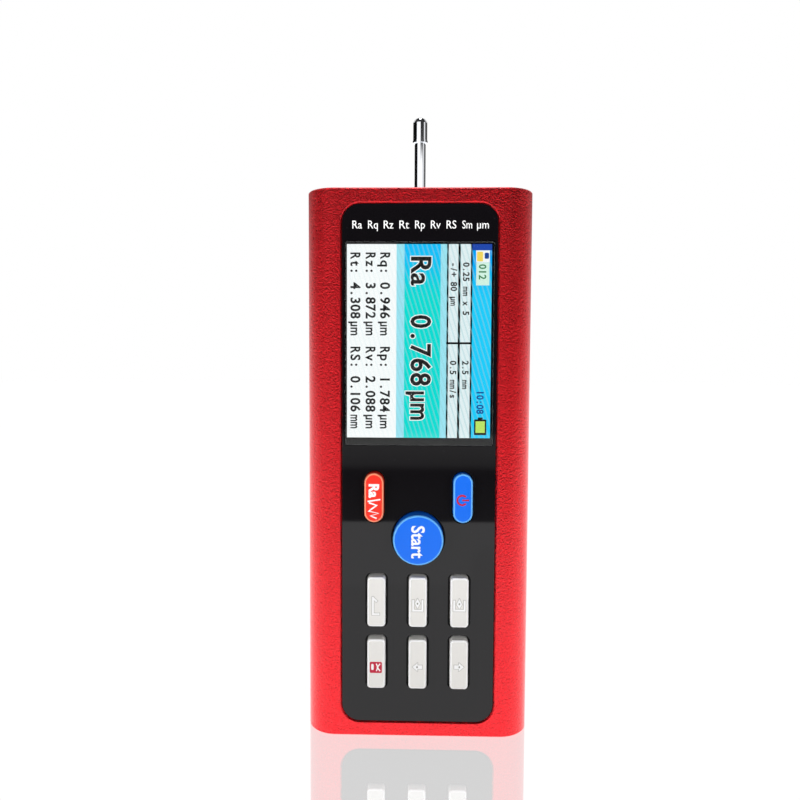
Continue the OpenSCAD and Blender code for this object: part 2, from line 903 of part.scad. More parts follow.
// Gearbox over the motor can, hung from the motor plate
module gear_motor() {
    color(steel) on_screw_axis(motor_plate_z) difference() {
        union() {
            cylinder(r = pilot_r, h = pilot_h);
            translate([0, 0, -gearbox_h]) cylinder(r = motor_r, h = gearbox_h);
            translate([0, 0, -gearbox_h - motor_seam]) cylinder(r = motor_r - motor_seam, h = motor_seam);
            translate([0, 0, -gearbox_h - motor_seam - motor_can_h]) cylinder(r = motor_r, h = motor_can_h);
            translate([0, 0, -gearbox_h - motor_seam - motor_can_h - motor_tail_h])
                cylinder(r = motor_tail_r, h = motor_tail_h);
        }
        translate([0, 0, -shaft_tail]) cylinder(r = journal_r + running, h = shaft_tail + pilot_h + cut);
        for (side = [-1, 1]) translate([side * motor_screw_x, 0, -motor_screw_reach - snug])
            cylinder(r = motor_screw_r + seat, h = motor_screw_reach + cut);
    }
}

module motor_screws() {
    color(dark_steel) for (side = [-1, 1])
        translate([side * motor_screw_x, screw_y, motor_plate_z + motor_plate_t]) {
            cylinder(r = motor_screw_head_r, h = motor_screw_head_h);
            translate([0, 0, -motor_plate_t - motor_screw_reach])
                cylinder(r = motor_screw_r, h = motor_plate_t + motor_screw_reach);
        }
}

module motor_shaft() {
    foot_z = motor_plate_z - shaft_tail + snug;
    color(steel) on_screw_axis(foot_z)
        cylinder(r = journal_r, h = coupling_z + coupling_h / 2 - snug - foot_z);
}

module shaft_coupling() {
    color(aluminium) on_screw_axis(coupling_z) difference() {
        cylinder(r = coupling_r, h = coupling_h);
        translate([0, 0, -cut]) cylinder(r = journal_r + seat, h = coupling_h + 2 * cut);
    }
}

// Threaded length between two plain journals
module lead_screw() {
    journal_foot = coupling_z + coupling_h / 2 + snug;
    thread_foot = lower_z + bulkhead_t + bearing_flange_t + snug;
    thread_top = upper_z - bearing_flange_t - snug;
    color(steel) {
        on_screw_axis(journal_foot) cylinder(r = journal_r, h = upper_z + bulkhead_t - journal_foot);
        on_screw_axis(thread_foot) cylinder(r = screw_r, h = thread_top - thread_foot);
    }
}

// Block on the rods, with a fork behind it for the pickup
module carriage() {
    color(aluminium) difference() {
        union() {
            translate([-carriage_w / 2, carriage_front_y, pivot_z - carriage_h / 2])
                cube([carriage_w, carriage_back_y - carriage_front_y, carriage_h]);
            for (side = [-1, 1]) translate([side * (ear_x + ear_t / 2), pickup_y, pivot_z]) {
                cross_rod(ear_r, ear_t);
                translate([-ear_t / 2, carriage_back_y - pickup_y - cut, -ear_r])
                    cube([ear_t, pickup_y - carriage_back_y + cut, 2 * ear_r]);
            }
        }
        on_screw_axis(pivot_z - carriage_h / 2 - cut) {
            cylinder(r = nut_r + seat, h = carriage_h + 2 * cut);
            for (side = [-1, 1]) translate([side * rod_x, 0, 0])
                cylinder(r = bush_r + seat, h = carriage_h + 2 * cut);
        }
        translate([0, pickup_y, pivot_z]) cross_rod(pivot_r + seat, 2 * (ear_x + ear_t + cut));
    }
}

module guide_bushes() {
    color(bronze) for (side = [-1, 1])
        translate([side * rod_x, screw_y, pivot_z - carriage_h / 2]) difference() {
            cylinder(r = bush_r, h = carriage_h);
            translate([0, 0, -cut]) cylinder(r = rod_r + running, h = carriage_h + 2 * cut);
        }
}

module drive_nut() {
    color(brass) on_screw_axis(pivot_z - carriage_h / 2) difference() {
        union() {
            cylinder(r = nut_r, h = nut_h);
            translate([0, 0, -nut_flange_t]) cylinder(r = nut_flange_r, h = nut_flange_t);
        }
        translate([0, 0, -nut_flange_t - cut])
            cylinder(r = screw_r + running, h = nut_h + nut_flange_t + 2 * cut);
    }
}

// Two stub pins, each through one ear into the wall of the sheath
module pivot_pins() {
    pin_h = ear_t + ear_gap + pivot_bite;
    color(steel) for (side = [-1, 1])
        translate([side * (ear_x + ear_t - pin_h / 2), pickup_y, pivot_z]) cross_rod(pivot_r, pin_h);
}

// Pickup

module on_pickup_axis(z) {
    translate([0, pickup_y, z]) children();
}

module pickup_sheath() {
    bore_reach = sheath_r - pivot_bite - snug;
    color(dark_steel) difference() {
        on_pickup_axis(pivot_z - sheath_half) cylinder(r = sheath_r, h = 2 * sheath_half);
        on_pickup_axis(pivot_z - sheath_half + sheath_floor)
            cylinder(r = barrel_r + seat, h = 2 * sheath_half);
        for (side = [-1, 1])
            translate([side * (bore_reach + cut), pickup_y, pivot_z])
                cross_rod(pivot_r + running, 2 * cut);
    }
}

module pin_places() {
    for (i = [0:pin_count - 1]) rotate(i * 360 / pin_count) translate([pin_ring_r, 0, 0]) children();
}

module contact_block() {
    color(black_plastic) on_pickup_axis(barrel_foot_z - block_h - snug) difference() {
        cylinder(r = barrel_r, h = block_h);
        translate([0, 0, block_h - pin_bite - snug]) pin_places()
            cylinder(r = pin_r + running, h = pin_bite + cut);
    }
}

module contact_pins() {
    color(brass) on_pickup_axis(barrel_foot_z - pin_bite) pin_places()
        cylinder(r = pin_r, h = pin_bite + carrier_h);
}

// Tube with a solid foot that carries the contact pins
module pickup_barrel() {
    color(steel) difference() {
        on_pickup_axis(barrel_foot_z) cylinder(r = barrel_r, h = barrel_h);
        on_pickup_axis(barrel_foot_z + carrier_h) cylinder(r = barrel_bore_r, h = barrel_h);
        on_pickup_axis(barrel_foot_z - cut) pin_places() cylinder(r = pin_r + seat, h = carrier_h + 2 * cut);
        on_pickup_axis(lever_pin_z) cross_rod(lever_pin_r + seat, 2 * barrel_r + cut);
        on_pickup_axis(barrel_top_z) rotate_extrude() translate([barrel_r, 0])
            chamfer_edge(barrel_chamfer);
    }
}

module pickup_neck() {
    color(steel) on_pickup_axis(neck_foot_z) difference() {
        cylinder(r = neck_r, h = head_foot_z + head_bite - neck_foot_z);
        translate([0, 0, -cut]) cylinder(r = neck_bore_r, h = head_foot_z + head_bite - neck_foot_z + 2 * cut);
    }
}

// Round-nosed head with the skid on its back and a hole for the stylus
module skid_head() {
    color(steel) difference() {
        union() {
            on_pickup_axis(head_foot_z) {
                cylinder(r = head_r, h = head_h - head_round);
                translate([0, 0, head_h - head_round]) rotate_extrude() {
                    square([head_r - head_round, head_round]);
                    translate([head_r - head_round, 0]) intersection() {
                        circle(head_round);
                        square(head_round);
                    }
                }
                cylinder(r = head_r + head_lip_out, h = head_lip_h);
            }
            translate([0, pickup_y + skid_reach - skid_r, stylus_z]) sphere(skid_r);
        }
        on_pickup_axis(head_foot_z - cut) cylinder(r = neck_r + seat, h = head_bite + cut);
        on_pickup_axis(head_foot_z) cylinder(r = neck_bore_r, h = head_h - head_wall);
        on_pickup_axis(stylus_z) rotate([-90, 0, 0]) cylinder(r = stylus_hole_r, h = skid_reach + cut);
    }
}

// Two coils round the lever's core, inside the barrel
module sensor_coils() {
    coil_top_z = lever_pin_z - core_drop + core_h;
    color(bronze) for (i = [0, 1])
        on_pickup_axis(coil_top_z - coil_h - i * (coil_h + coil_gap)) difference() {
            cylinder(r = barrel_bore_r - seat, h = coil_h);
            translate([0, 0, -cut]) cylinder(r = barrel_bore_r - seat - coil_wall, h = coil_h + 2 * cut);
        }
}

module stylus_pin() {
    color(steel) on_pickup_axis(lever_pin_z) cross_rod(lever_pin_r, 2 * (barrel_r - lever_pin_sink));
}

// Beam on its cross pin, with the core at its foot and the stylus at its top
module stylus_lever() {
    foot_z = lever_pin_z - core_drop;
    stem_h = skid_reach + stylus_tip_out - stylus_cone_h;
    color(dark_steel) difference() {
        union() {
            on_pickup_axis(foot_z) {
                cylinder(r = core_r, h = core_h);
                cylinder(r = lever_r, h = stylus_z + lever_r - foot_z);
            }
            on_pickup_axis(lever_pin_z) cross_rod(lever_hub_r, lever_hub_w);
            on_pickup_axis(stylus_z) rotate([-90, 0, 0]) {
                cylinder(r = stylus_stem_r, h = stem_h);
                translate([0, 0, stem_h])
                    cylinder(r1 = stylus_stem_r, r2 = stylus_stem_r / 8, h = stylus_cone_h);
            }
        }
        on_pickup_axis(lever_pin_z) cross_rod(lever_pin_r + running / 2, lever_hub_w + cut);
    }
}

housing();
top_cap();
bottom_cap();
top_cap_screws();
bottom_cap_screws();
front_panel();
display_window();
display_module();
display_glass();
display_holder();
key_frame();
key_start();
key_parameter();
key_power();
key_enter();
key_page_down();
key_page_up();
key_menu();
key_left();
key_right();
main_board();
board_components();
data_socket();
switch_body();
switch_slider();
battery_pack();
stand_socket();
drive_chassis();
guide_rods();
screw_bearings();
gear_motor();
motor_screws();
motor_shaft();
shaft_coupling();
lead_screw();
carriage();
guide_bushes();
drive_nut();
pivot_pins();
pickup_sheath();
contact_block();
contact_pins();
pickup_barrel();
pickup_neck();
skid_head();
sensor_coils();
stylus_pin();
stylus_lever();
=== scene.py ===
"""Looks of a hand-held surface roughness tester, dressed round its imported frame.

The frame gives every solid its place. This script adds the finishes, smooth copies of the keys,
the picture on the lit display, the printed marks, the contacts and the threads, and then a floor,
soft light and the camera.
"""

import json
import logging
import math
from dataclasses import dataclass
from enum import Enum
from typing import Callable, ClassVar, Iterable, Mapping, Sequence, Union

import bmesh
import bpy
from mathutils import Matrix, Vector


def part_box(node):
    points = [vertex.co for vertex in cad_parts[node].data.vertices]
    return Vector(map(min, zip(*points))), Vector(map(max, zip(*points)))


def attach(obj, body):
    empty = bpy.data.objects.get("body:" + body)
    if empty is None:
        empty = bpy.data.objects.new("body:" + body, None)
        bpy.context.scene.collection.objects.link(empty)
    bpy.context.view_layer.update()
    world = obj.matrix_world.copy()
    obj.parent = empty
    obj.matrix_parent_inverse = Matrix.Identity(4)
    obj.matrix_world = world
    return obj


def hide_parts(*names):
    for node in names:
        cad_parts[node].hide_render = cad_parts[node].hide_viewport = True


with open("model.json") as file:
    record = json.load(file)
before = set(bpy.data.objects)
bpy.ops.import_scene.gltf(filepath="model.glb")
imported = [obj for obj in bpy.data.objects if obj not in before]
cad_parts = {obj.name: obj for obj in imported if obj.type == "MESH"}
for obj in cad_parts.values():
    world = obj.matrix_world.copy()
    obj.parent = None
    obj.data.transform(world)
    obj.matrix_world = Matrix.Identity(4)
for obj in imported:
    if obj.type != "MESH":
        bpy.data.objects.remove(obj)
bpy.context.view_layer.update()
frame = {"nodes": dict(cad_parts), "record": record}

LOG = logging.getLogger("roughness_tester")
MM = 0.001
ROOT = "instrument"
SMOOTH_ANGLE = 30.0

Colour = tuple[float, float, float]
Point = tuple[float, float]


def linear(red: int, green: int, blue: int) -> Colour:
    """Gives the linear colour of a display colour with parts from 0 to 255."""
    parts = [c / 255 for c in (red, green, blue)]
    return tuple(c / 12.92 if c <= 0.04045 else ((c + 0.055) / 1.055) ** 2.4 for c in parts)


def operator(operation: str, turned: bool = False) -> Callable[["Wire", "Term"], "Wire"]:
    """Makes an operator that adds a Math node.

    Args:
        operation: The node's operation.
        turned: Whether the other term comes first, as where a number stands on the left.

    Returns:
        The method of a wire.
    """

    def apply(wire: "Wire", other: "Term") -> "Wire":
        """Adds the node."""
        return wire.math(operation, *((other, wire) if turned else (wire, other)))

    return apply


class Wire:
    """An output socket that takes part in arithmetic, which adds Math nodes."""

    def __init__(self, graph: "Graph", socket: bpy.types.NodeSocket) -> None:
        """Keeps the socket and the graph that it belongs to."""
        self.graph = graph
        self.socket = socket

    __add__ = operator("ADD")
    __radd__ = operator("ADD", turned=True)
    __sub__ = operator("SUBTRACT")
    __rsub__ = operator("SUBTRACT", turned=True)
    __mul__ = operator("MULTIPLY")
    __rmul__ = operator("MULTIPLY", turned=True)
    __truediv__ = operator("DIVIDE")
    __rtruediv__ = operator("DIVIDE", turned=True)
    __gt__ = operator("GREATER_THAN")
    __lt__ = operator("LESS_THAN")
    largest = operator("MAXIMUM")

    def math(self, operation: str, *terms: "Term") -> "Wire":
        """Adds one Math node with these inputs and gives its result."""
        return self.graph.node("ShaderNodeMath", {"operation": operation}, dict(enumerate(terms)))

    def between(self, low: "Term", high: "Term") -> "Wire":
        """Gives 1 where this lies between two limits."""
        return (self > low) * (self < high)

    def within(self, low: float, high: float, soft: float) -> "Wire":
        """Gives 1 between two limits and falls to 0 over a soft border outside them."""
        return self.step(low - soft, low) * (1 - self.step(high, high + soft))

    def step(self, low: float, high: float) -> "Wire":
        """Rises smoothly from 0 at the low value to 1 at the high one."""
        limits = {"Value": self, "From Min": low, "From Max": high}
        return self.graph.node("ShaderNodeMapRange", {"interpolation_type": "SMOOTHSTEP"}, limits)


Term = Union[Wire, float]
Value = Union[Wire, float, Sequence[float]]


class Graph:
    """A node tree that grows one node at a time.

    Attributes:
        WAVE_RATE: How far a wave texture's phase goes for each unit of length at a scale of 1.
    """

    WAVE_RATE: ClassVar[float] = 20.0

    def __init__(self, tree: bpy.types.NodeTree) -> None:
        """Starts from an empty tree."""
        tree.nodes.clear()
        self.tree = tree

    @staticmethod
    def find(sockets: Iterable[bpy.types.NodeSocket], key: Union[int, str]) -> bpy.types.NodeSocket:
        """Finds a socket by its index, identifier or name."""
        same = [s for s in sockets if s.identifier == key]
        return same[0] if same else sockets[key]

    def node(
        self,
        kind: str,
        settings: Mapping[str, object],
        inputs: Mapping[Union[int, str], Value],
        output: Union[int, str] = 0,
    ) -> Wire:
        """Adds a node.

        Args:
            kind: The node's type.
            settings: Its properties, with a ramp's stops as (place, colour) pairs.
            inputs: A number, a colour or a wire for each socket that is set.
            output: The socket that is given back.

        Returns:
            The chosen output.
        """
        made = self.tree.nodes.new(kind)
        for key, value in settings.items():
            if key == "stops":
                self.set_stops(made.color_ramp, value)
            elif key == "ramp_steps":
                made.color_ramp.interpolation = value
            else:
                setattr(made, key, value)
        for key, value in inputs.items():
            socket = self.find(made.inputs, key)
            if isinstance(value, Wire):
                self.tree.links.new(value.socket, socket)
            else:
                socket.default_value = value
        return Wire(self, self.find(made.outputs, output) if made.outputs else None)

    @staticmethod
    def set_stops(ramp: bpy.types.ColorRamp, stops: Sequence[tuple[float, Colour]]) -> None:
        """Gives a ramp its stops.

        Args:
            ramp: The ramp.
            stops: Pairs of a place from 0 to 1 and a colour.
        """
        ramp.elements.remove(ramp.elements[-1])
        for index, (place, colour) in enumerate(stops):
            stop = ramp.elements.new(place) if index else ramp.elements[0]
            stop.position = place
            stop.color = (*colour, 1)

    def place(self, scale: Sequence[float] = (1, 1, 1), turn: float = 0.0) -> Wire:
        """Gives Object coordinates, packed by a scale and turned about y by radians."""
        spot = self.node("ShaderNodeTexCoord", {}, {}, "Object")
        inputs = {"Vector": spot, "Scale": scale, "Rotation": (0, turn, 0)}
        return self.node("ShaderNodeMapping", {}, inputs)

    def parts(self, vector: Wire) -> list[Wire]:
        """Splits a vector into its x, y and z parts."""
        split = self.node("ShaderNodeSeparateXYZ", {}, {"Vector": vector})
        return [Wire(self, socket) for socket in split.socket.node.outputs]

    def noise(self, place: Wire, grain: float, detail: float = 2.0) -> Wire:
        """Gives soft random spots of a size in mm, as a value from 0 to 1."""
        inputs = {"Vector": place, "Scale": 1 / (grain * MM), "Detail": detail}
        return self.node("ShaderNodeTexNoise", {}, inputs, "Fac")

    def stripes(self, place: Wire, pitch: float, wander: float) -> Wire:
        """Gives waves along the x axis from 0 to 1.

        Args:
            place: Where on the surface.
            pitch: The distance from wave to wave in mm.
            wander: How far the waves bend.

        Returns:
            A value from 0 to 1.
        """
        scale = 2 * math.pi / (self.WAVE_RATE * pitch * MM)
        inputs = {"Vector": place, "Scale": scale, "Distortion": wander}
        return self.node("ShaderNodeTexWave", {"bands_direction": "X"}, inputs, "Fac")

    def blend(self, share: Term, low: Value, high: Value) -> Wire:
        """Mixes two colours.

        Args:
            share: 0 for the first colour, 1 for the second.
            low: The first colour.
            high: The second colour.

        Returns:
            The mixed colour.
        """
        first, second = (c if isinstance(c, Wire) else (*c, 1) for c in (low, high))
        inputs = {"Factor_Float": share, "A_Color": first, "B_Color": second}
        return self.node("ShaderNodeMix", {"data_type": "RGBA"}, inputs, "Result_Color")

    def bump(self, height: Wire, depth: float) -> Wire:
        """Turns a height from 0 to 1 into a normal, with the depth of 1 in mm."""
        return self.node("ShaderNodeBump", {}, {"Distance": depth * MM, "Height": height}, "Normal")


@dataclass(frozen=True)
class Finish:
    """A moulded or painted surface with a fine grain.

    Attributes:
        name: The material's name.
        shade: The display colour.
        roughness: How blurred its reflections are.
        metallic: 1 for bare metal.
        coat: Weight of a clear coat.
        coat_roughness: How blurred the coat's reflections are.
        grain: Size of the grain in mm.
        mottle: How much the grain changes the colour.
        gloss_spread: How much the grain changes the roughness.
        relief: Height of the grain in mm.
    """

    name: str
    shade: tuple[int, int, int]
    roughness: float = 0.5
    metallic: float = 0.0
    coat: float = 0.0
    coat_roughness: float = 0.1
    grain: float = 0.3
    mottle: float = 0.08
    gloss_spread: float = 0.1
    relief: float = 0.01
    made: ClassVar[dict[str, bpy.types.Material]] = {}

    def material(self) -> bpy.types.Material:
        """Gives the finish's material, made at its first use."""
        if self.name not in self.made:
            material = bpy.data.materials.new(self.name)
            material.use_nodes = True
            graph = Graph(material.node_tree)
            inputs = {**self.constants(), **self.pattern(graph)}
            shader = graph.node("ShaderNodeBsdfPrincipled", {}, inputs)
            graph.node("ShaderNodeOutputMaterial", {}, {"Surface": shader})
            self.made[self.name] = material
        return self.made[self.name]

    def constants(self) -> dict[str, Value]:
        """Gives the shader inputs that are the same all over the surface."""
        return {
            "Metallic": self.metallic,
            "Coat Weight": self.coat,
            "Coat Roughness": self.coat_roughness,
        }

    def tones(self) -> tuple[Colour, Colour]:
        """Gives the grain's dark and light colours."""
        shade = linear(*self.shade)
        dark = tuple(c * (1 - self.mottle) for c in shade)
        light = tuple(min(1, c * (1 + self.mottle)) for c in shade)
        return dark, light

    def surface(self, graph: Graph, height: Wire) -> dict[str, Wire]:
        """Lets one height drive colour, gloss and relief.

        Args:
            graph: The material's graph.
            height: The pattern from 0 to 1.

        Returns:
            Shader inputs.
        """
        return {
            "Base Color": graph.blend(height, *self.tones()),
            "Roughness": self.roughness + (height - 0.5) * self.gloss_spread,
            "Normal": graph.bump(height, self.relief),
        }

    def pattern(self, graph: Graph) -> dict[str, Wire]:
        """Gives the shader inputs that change over the surface."""
        return self.surface(graph, graph.noise(graph.place(), self.grain))


@dataclass(frozen=True)
class BlastedAnodising(Finish):
    """Dyed aluminium with the pits of bead blasting and slow drifts of the dye.

    Attributes:
        drift: Size of the dye's drifts in mm.
        drift_share: How much they darken the colour.
        pit: Size of the wider pits in mm.
        pit_share: Their share of the relief.
        pit_edge: Where in the noise a pit starts and ends.
    """

    drift: float = 26.0
    drift_share: float = 0.1
    pit: float = 0.55
    pit_share: float = 0.45
    pit_edge: Point = (0.3, 0.7)

    def pattern(self, graph: Graph) -> dict[str, Wire]:
        """Adds fine pits, wider ones and the dye's drift."""
        place = graph.place()
        fine = graph.noise(place, self.grain).step(*self.pit_edge)
        wide = graph.noise(place, self.pit).step(*self.pit_edge)
        cloud = graph.noise(place, self.drift)
        blasted = fine * (1 - self.pit_share) + wide * self.pit_share
        inputs = self.surface(graph, blasted)
        dark, _ = self.tones()
        inputs["Base Color"] = graph.blend(cloud * self.drift_share, inputs["Base Color"], dark)
        return inputs


class Axis(Enum):
    """The direction that a tool's marks run in, as shares of their length."""

    X = (1, 0, 0)
    Z = (0, 0, 1)


@dataclass(frozen=True)
class BrushedMetal(Finish):
    """Bare metal with fine lines along the way it was ground, drawn or turned.

    Attributes:
        along: The lines' direction.
        stretch: A line's length over its width.
    """

    metallic: float = 1.0
    along: Axis = Axis.Z
    stretch: float = 40.0

    def pattern(self, graph: Graph) -> dict[str, Wire]:
        """Stretches the grain into lines."""
        scale = [1 / self.stretch if share else 1 for share in self.along.value]
        return self.surface(graph, graph.noise(graph.place(scale), self.grain))


@dataclass(frozen=True)
class MouldedKey(Finish):
    """Moulded plastic with a painted highlight: paler edges, which an attribute of the mesh marks.

    Attributes:
        rim: The display colour of the painted highlight on the edges.
    """

    rim: tuple[int, int, int] = (255, 255, 255)

    HIGHLIGHT_ATTRIBUTE: ClassVar[str] = "rim"

    def pattern(self, graph: Graph) -> dict[str, Wire]:
        """Paints the highlight by turning the marked edges paler."""
        inputs = super().pattern(graph)
        # Painted highlight: the marked edges get a paler colour that stands in for the light they
        # catch.
        highlight_mask = graph.node("ShaderNodeAttribute", {"attribute_name": self.HIGHLIGHT_ATTRIBUTE}, {}, "Fac")
        inputs["Base Color"] = graph.blend(highlight_mask, inputs["Base Color"], linear(*self.rim))
        return inputs


@dataclass(frozen=True)
class GlossLacquer(Finish):
    """A deep gloss sheet with the faint waviness of moulding and sparse dust.

    Attributes:
        dust: Distance from speck to speck in mm.
        dust_size: A speck's size as a share of that distance.
        dust_share: How much a speck covers.
        dust_shade: A speck's display colour.
        dust_roughness: How much rougher a speck is.
        shine: Strength of the lacquer's reflections.
    """

    dust: float = 2.4
    dust_size: float = 0.035
    dust_share: float = 0.5
    dust_shade: tuple[int, int, int] = (70, 70, 72)
    dust_roughness: float = 0.5
    shine: float = 0.33

    def constants(self) -> dict[str, Value]:
        """Adds the strength of the lacquer's reflections."""
        return {**super().constants(), "Specular IOR Level": self.shine}

    def pattern(self, graph: Graph) -> dict[str, Wire]:
        """Adds dust that is rougher and paler than the lacquer."""
        place = graph.place()
        wave = graph.noise(place, self.grain, 0)
        inputs = {"Vector": place, "Scale": 1 / (self.dust * MM)}
        near = graph.node("ShaderNodeTexVoronoi", {}, inputs, "Distance")
        speck = near < self.dust_size
        dark, _ = self.tones()
        return {
            "Base Color": graph.blend(speck * self.dust_share, dark, linear(*self.dust_shade)),
            "Roughness": self.roughness + speck * self.dust_roughness,
            "Normal": graph.bump(wave, self.relief),
        }


@dataclass(frozen=True)
class ClearSheet(Finish):
    """Clear hard-coated plastic with hardly any smear.

    Attributes:
        ior: The plastic's index of refraction.
        smear: Where in the noise a smear starts and ends.
    """

    ior: float = 1.49
    smear: Point = (0.55, 0.8)

    def constants(self) -> dict[str, Value]:
        """Makes the sheet clear."""
        return {"Transmission Weight": 1.0, "IOR": self.ior}

    def pattern(self, graph: Graph) -> dict[str, Wire]:
        """Adds a faint smear."""
        spots = graph.noise(graph.place(), self.grain)
        return {
            "Base Color": graph.blend(spots, *self.tones()),
            "Roughness": self.roughness + spots.step(*self.smear) * self.gloss_spread,
        }


@dataclass(frozen=True)
class SolderMask(Finish):
    """Lacquered circuit board with tracks under the lacquer and gilt vias.

    Attributes:
        track: Distance from track to track in mm.
        track_edge: Where in the wave a track starts.
        field: Size of the areas with tracks in mm.
        field_edge: Where in the noise such an area starts.
        via: Distance from via to via in mm.
        via_size: A via's size as a share of that distance.
        via_shade: A via's display colour.
        via_gloss: How much smoother a via is.
        via_metal: How metallic a via is.
    """

    track: float = 2.07345
    track_edge: Point = (0.55, 0.65)
    field: float = 9.0
    field_edge: Point = (0.45, 0.47)
    via: float = 3.1
    via_size: float = 0.13
    via_shade: tuple[int, int, int] = (205, 170, 90)
    via_gloss: float = 0.1
    via_metal: float = 0.9

    def pattern(self, graph: Graph) -> dict[str, Wire]:
        """Adds tracks and vias."""
        place = graph.place()
        lines = graph.stripes(place, self.track, 0.0).step(*self.track_edge)
        tracks = lines * graph.noise(place, self.field, 0).step(*self.field_edge)
        spots = {"Vector": place, "Scale": 1 / (self.via * MM)}
        via = graph.node("ShaderNodeTexVoronoi", {}, spots, "Distance") < self.via_size
        mask = graph.blend(tracks, *self.tones())
        return {
            "Base Color": graph.blend(via, mask, linear(*self.via_shade)),
            "Roughness": self.roughness - via * self.via_gloss,
            "Metallic": via * self.via_metal,
            "Normal": graph.bump(tracks.largest(via), self.relief),
        }

    def constants(self) -> dict[str, Value]:
        """Leaves the metallic share to the vias."""
        return {"Coat Weight": self.coat, "Coat Roughness": self.coat_roughness}


@dataclass(frozen=True)
class Lit(Finish):
    """A dark face that glows.

    Attributes:
        glow: Strength of the glow.
    """

    glow: float = 1.1

    DARK: ClassVar[tuple[float, ...]] = (0.001, 0.001, 0.001, 1)

    def constants(self) -> dict[str, Value]:
        """Makes a dark face that glows and mirrors nothing."""
        return {"Base Color": self.DARK, "Emission Strength": self.glow, "Specular IOR Level": 0.0}


@dataclass(frozen=True)
class LitDisplay(Lit):
    """The lit picture of a colour display: bands of colour that run down the screen.

    Lengths along and across the picture are shares of its size.

    Attributes:
        left: The lit area's left edge in mm.
        top: The lit area's top edge in mm.
        width: The lit area's width in mm.
        height: The lit area's height in mm.
        paper: Where the white part ends.
        strips: Where the two strips start and end.
        strip_rule: Where the rule across the strips starts and ends.
        status_head: Where the dark head of the status line ends.
        fade: Where the upper colours start and end to turn into the lower ones.
        streak: Distance from streak to streak in mm.
        streak_turn: The streaks' turn in degrees.
        streak_edge: Where in the wave a streak starts and ends.
        streak_wander: How far the streaks bend.
        streak_share: How much the streaks cover.
        streak_loss: How much less they cover on the white part.
    """

    left: float = -18.33
    top: float = 126.31
    width: float = 36.4
    height: float = 48.78
    paper: float = 0.343
    strips: Point = (0.6895, 0.865)
    strip_rule: Point = (0.502, 0.5125)
    status_head: float = 0.0316
    fade: Point = (0.02, 0.3)
    streak: float = 1.15
    streak_turn: float = 17.0
    streak_edge: Point = (0.62, 0.95)
    streak_wander: float = 0.6
    streak_share: float = 0.34
    streak_loss: float = 0.26

    PAPER: ClassVar[Colour] = linear(250, 253, 253)
    MIST: ClassVar[Colour] = linear(158, 228, 242)
    STRIP: ClassVar[Colour] = linear(226, 240, 242)
    BLACK: ClassVar[Colour] = linear(6, 8, 10)
    NAVY: ClassVar[Colour] = linear(34, 72, 170)
    STREAK: ClassVar[Colour] = linear(150, 206, 214)
    UPPER: ClassVar[tuple[Colour, Colour]] = (linear(20, 190, 248), linear(0, 160, 244))
    LOWER: ClassVar[tuple[Colour, Colour]] = (linear(10, 220, 210), linear(30, 204, 250))

    def bands(self, field: Colour, status: Colour) -> list[tuple[float, Colour]]:
        """Gives the picture's bands from left to right.

        Args:
            field: Colour of the field behind the large reading.
            status: Colour of the status line.

        Returns:
            The stops of a stepped ramp.
        """
        return [
            (0.0, self.PAPER),
            (self.paper, self.MIST),
            (0.395, field),
            (0.648, self.MIST),
            (self.strips[0], self.BLACK),
            (0.702, self.STRIP),
            (0.7695, self.BLACK),
            (0.782, self.STRIP),
            (0.8525, self.BLACK),
            (self.strips[1], status),
        ]

    def pattern(self, graph: Graph) -> dict[str, Wire]:
        """Paints the bands, their rules and the streaks of a pixel grid."""
        right, _, up = graph.parts(graph.place())
        across = (right - self.left * MM) / (self.width * MM)
        down = (self.top * MM - up) / (self.height * MM)
        ramps = []
        for colours in (self.UPPER, self.LOWER):
            settings = {"stops": self.bands(*colours), "ramp_steps": "CONSTANT"}
            ramps.append(graph.node("ShaderNodeValToRGB", settings, {"Fac": across}))
        picture = graph.blend(down.step(*self.fade), *ramps)
        turned = graph.place(turn=math.radians(self.streak_turn))
        grid = graph.stripes(turned, self.streak, self.streak_wander)
        cover = self.streak_share - (across < self.paper) * self.streak_loss
        picture = graph.blend(grid.step(*self.streak_edge) * cover, picture, self.STREAK)
        rule = across.between(*self.strips) * down.between(*self.strip_rule)
        picture = graph.blend(rule, picture, self.BLACK)
        head = (across > self.strips[1]) * (down < self.status_head)
        picture = graph.blend(head, picture, self.NAVY)
        lit = across.between(0, 1) * down.between(0, 1)
        return {"Emission Color": graph.blend(lit, (0, 0, 0), picture)}


@dataclass(frozen=True)
class LitInk(Lit):
    """Lit points of one colour on the display."""

    def pattern(self, graph: Graph) -> dict[str, Wire]:
        """Varies the glow a little from point to point."""
        points = graph.noise(graph.place(), self.grain)
        return {"Emission Color": graph.blend(points, *self.tones())}


@dataclass(frozen=True)
class Ink(Finish):
    """Printed ink with a fine grain."""

    grain: float = 0.2
    relief: float = 0.002


SLIDER_BLACK = Finish("slider_black", (30, 30, 32), 0.45, grain=0.2, mottle=0.15, relief=0.008)
SCREEN_LIT = LitDisplay("screen_lit", (240, 246, 246))
GROUND_STEEL = BrushedMetal(
    "ground_steel", (188, 190, 194), 0.24, grain=0.05, mottle=0.1, relief=0.002,
)
BRASS = BrushedMetal(
    "turned_brass", (214, 172, 92), 0.26, grain=0.07, mottle=0.1, relief=0.003, along=Axis.X,
)
INK_WHITE = Ink("ink_white", (252, 252, 252), mottle=0.03)
INK_BLACK = Ink("ink_black", (4, 5, 6), 0.6, mottle=0.2)
INK_CRIMSON = Ink("ink_crimson", (190, 30, 60), mottle=0.1)
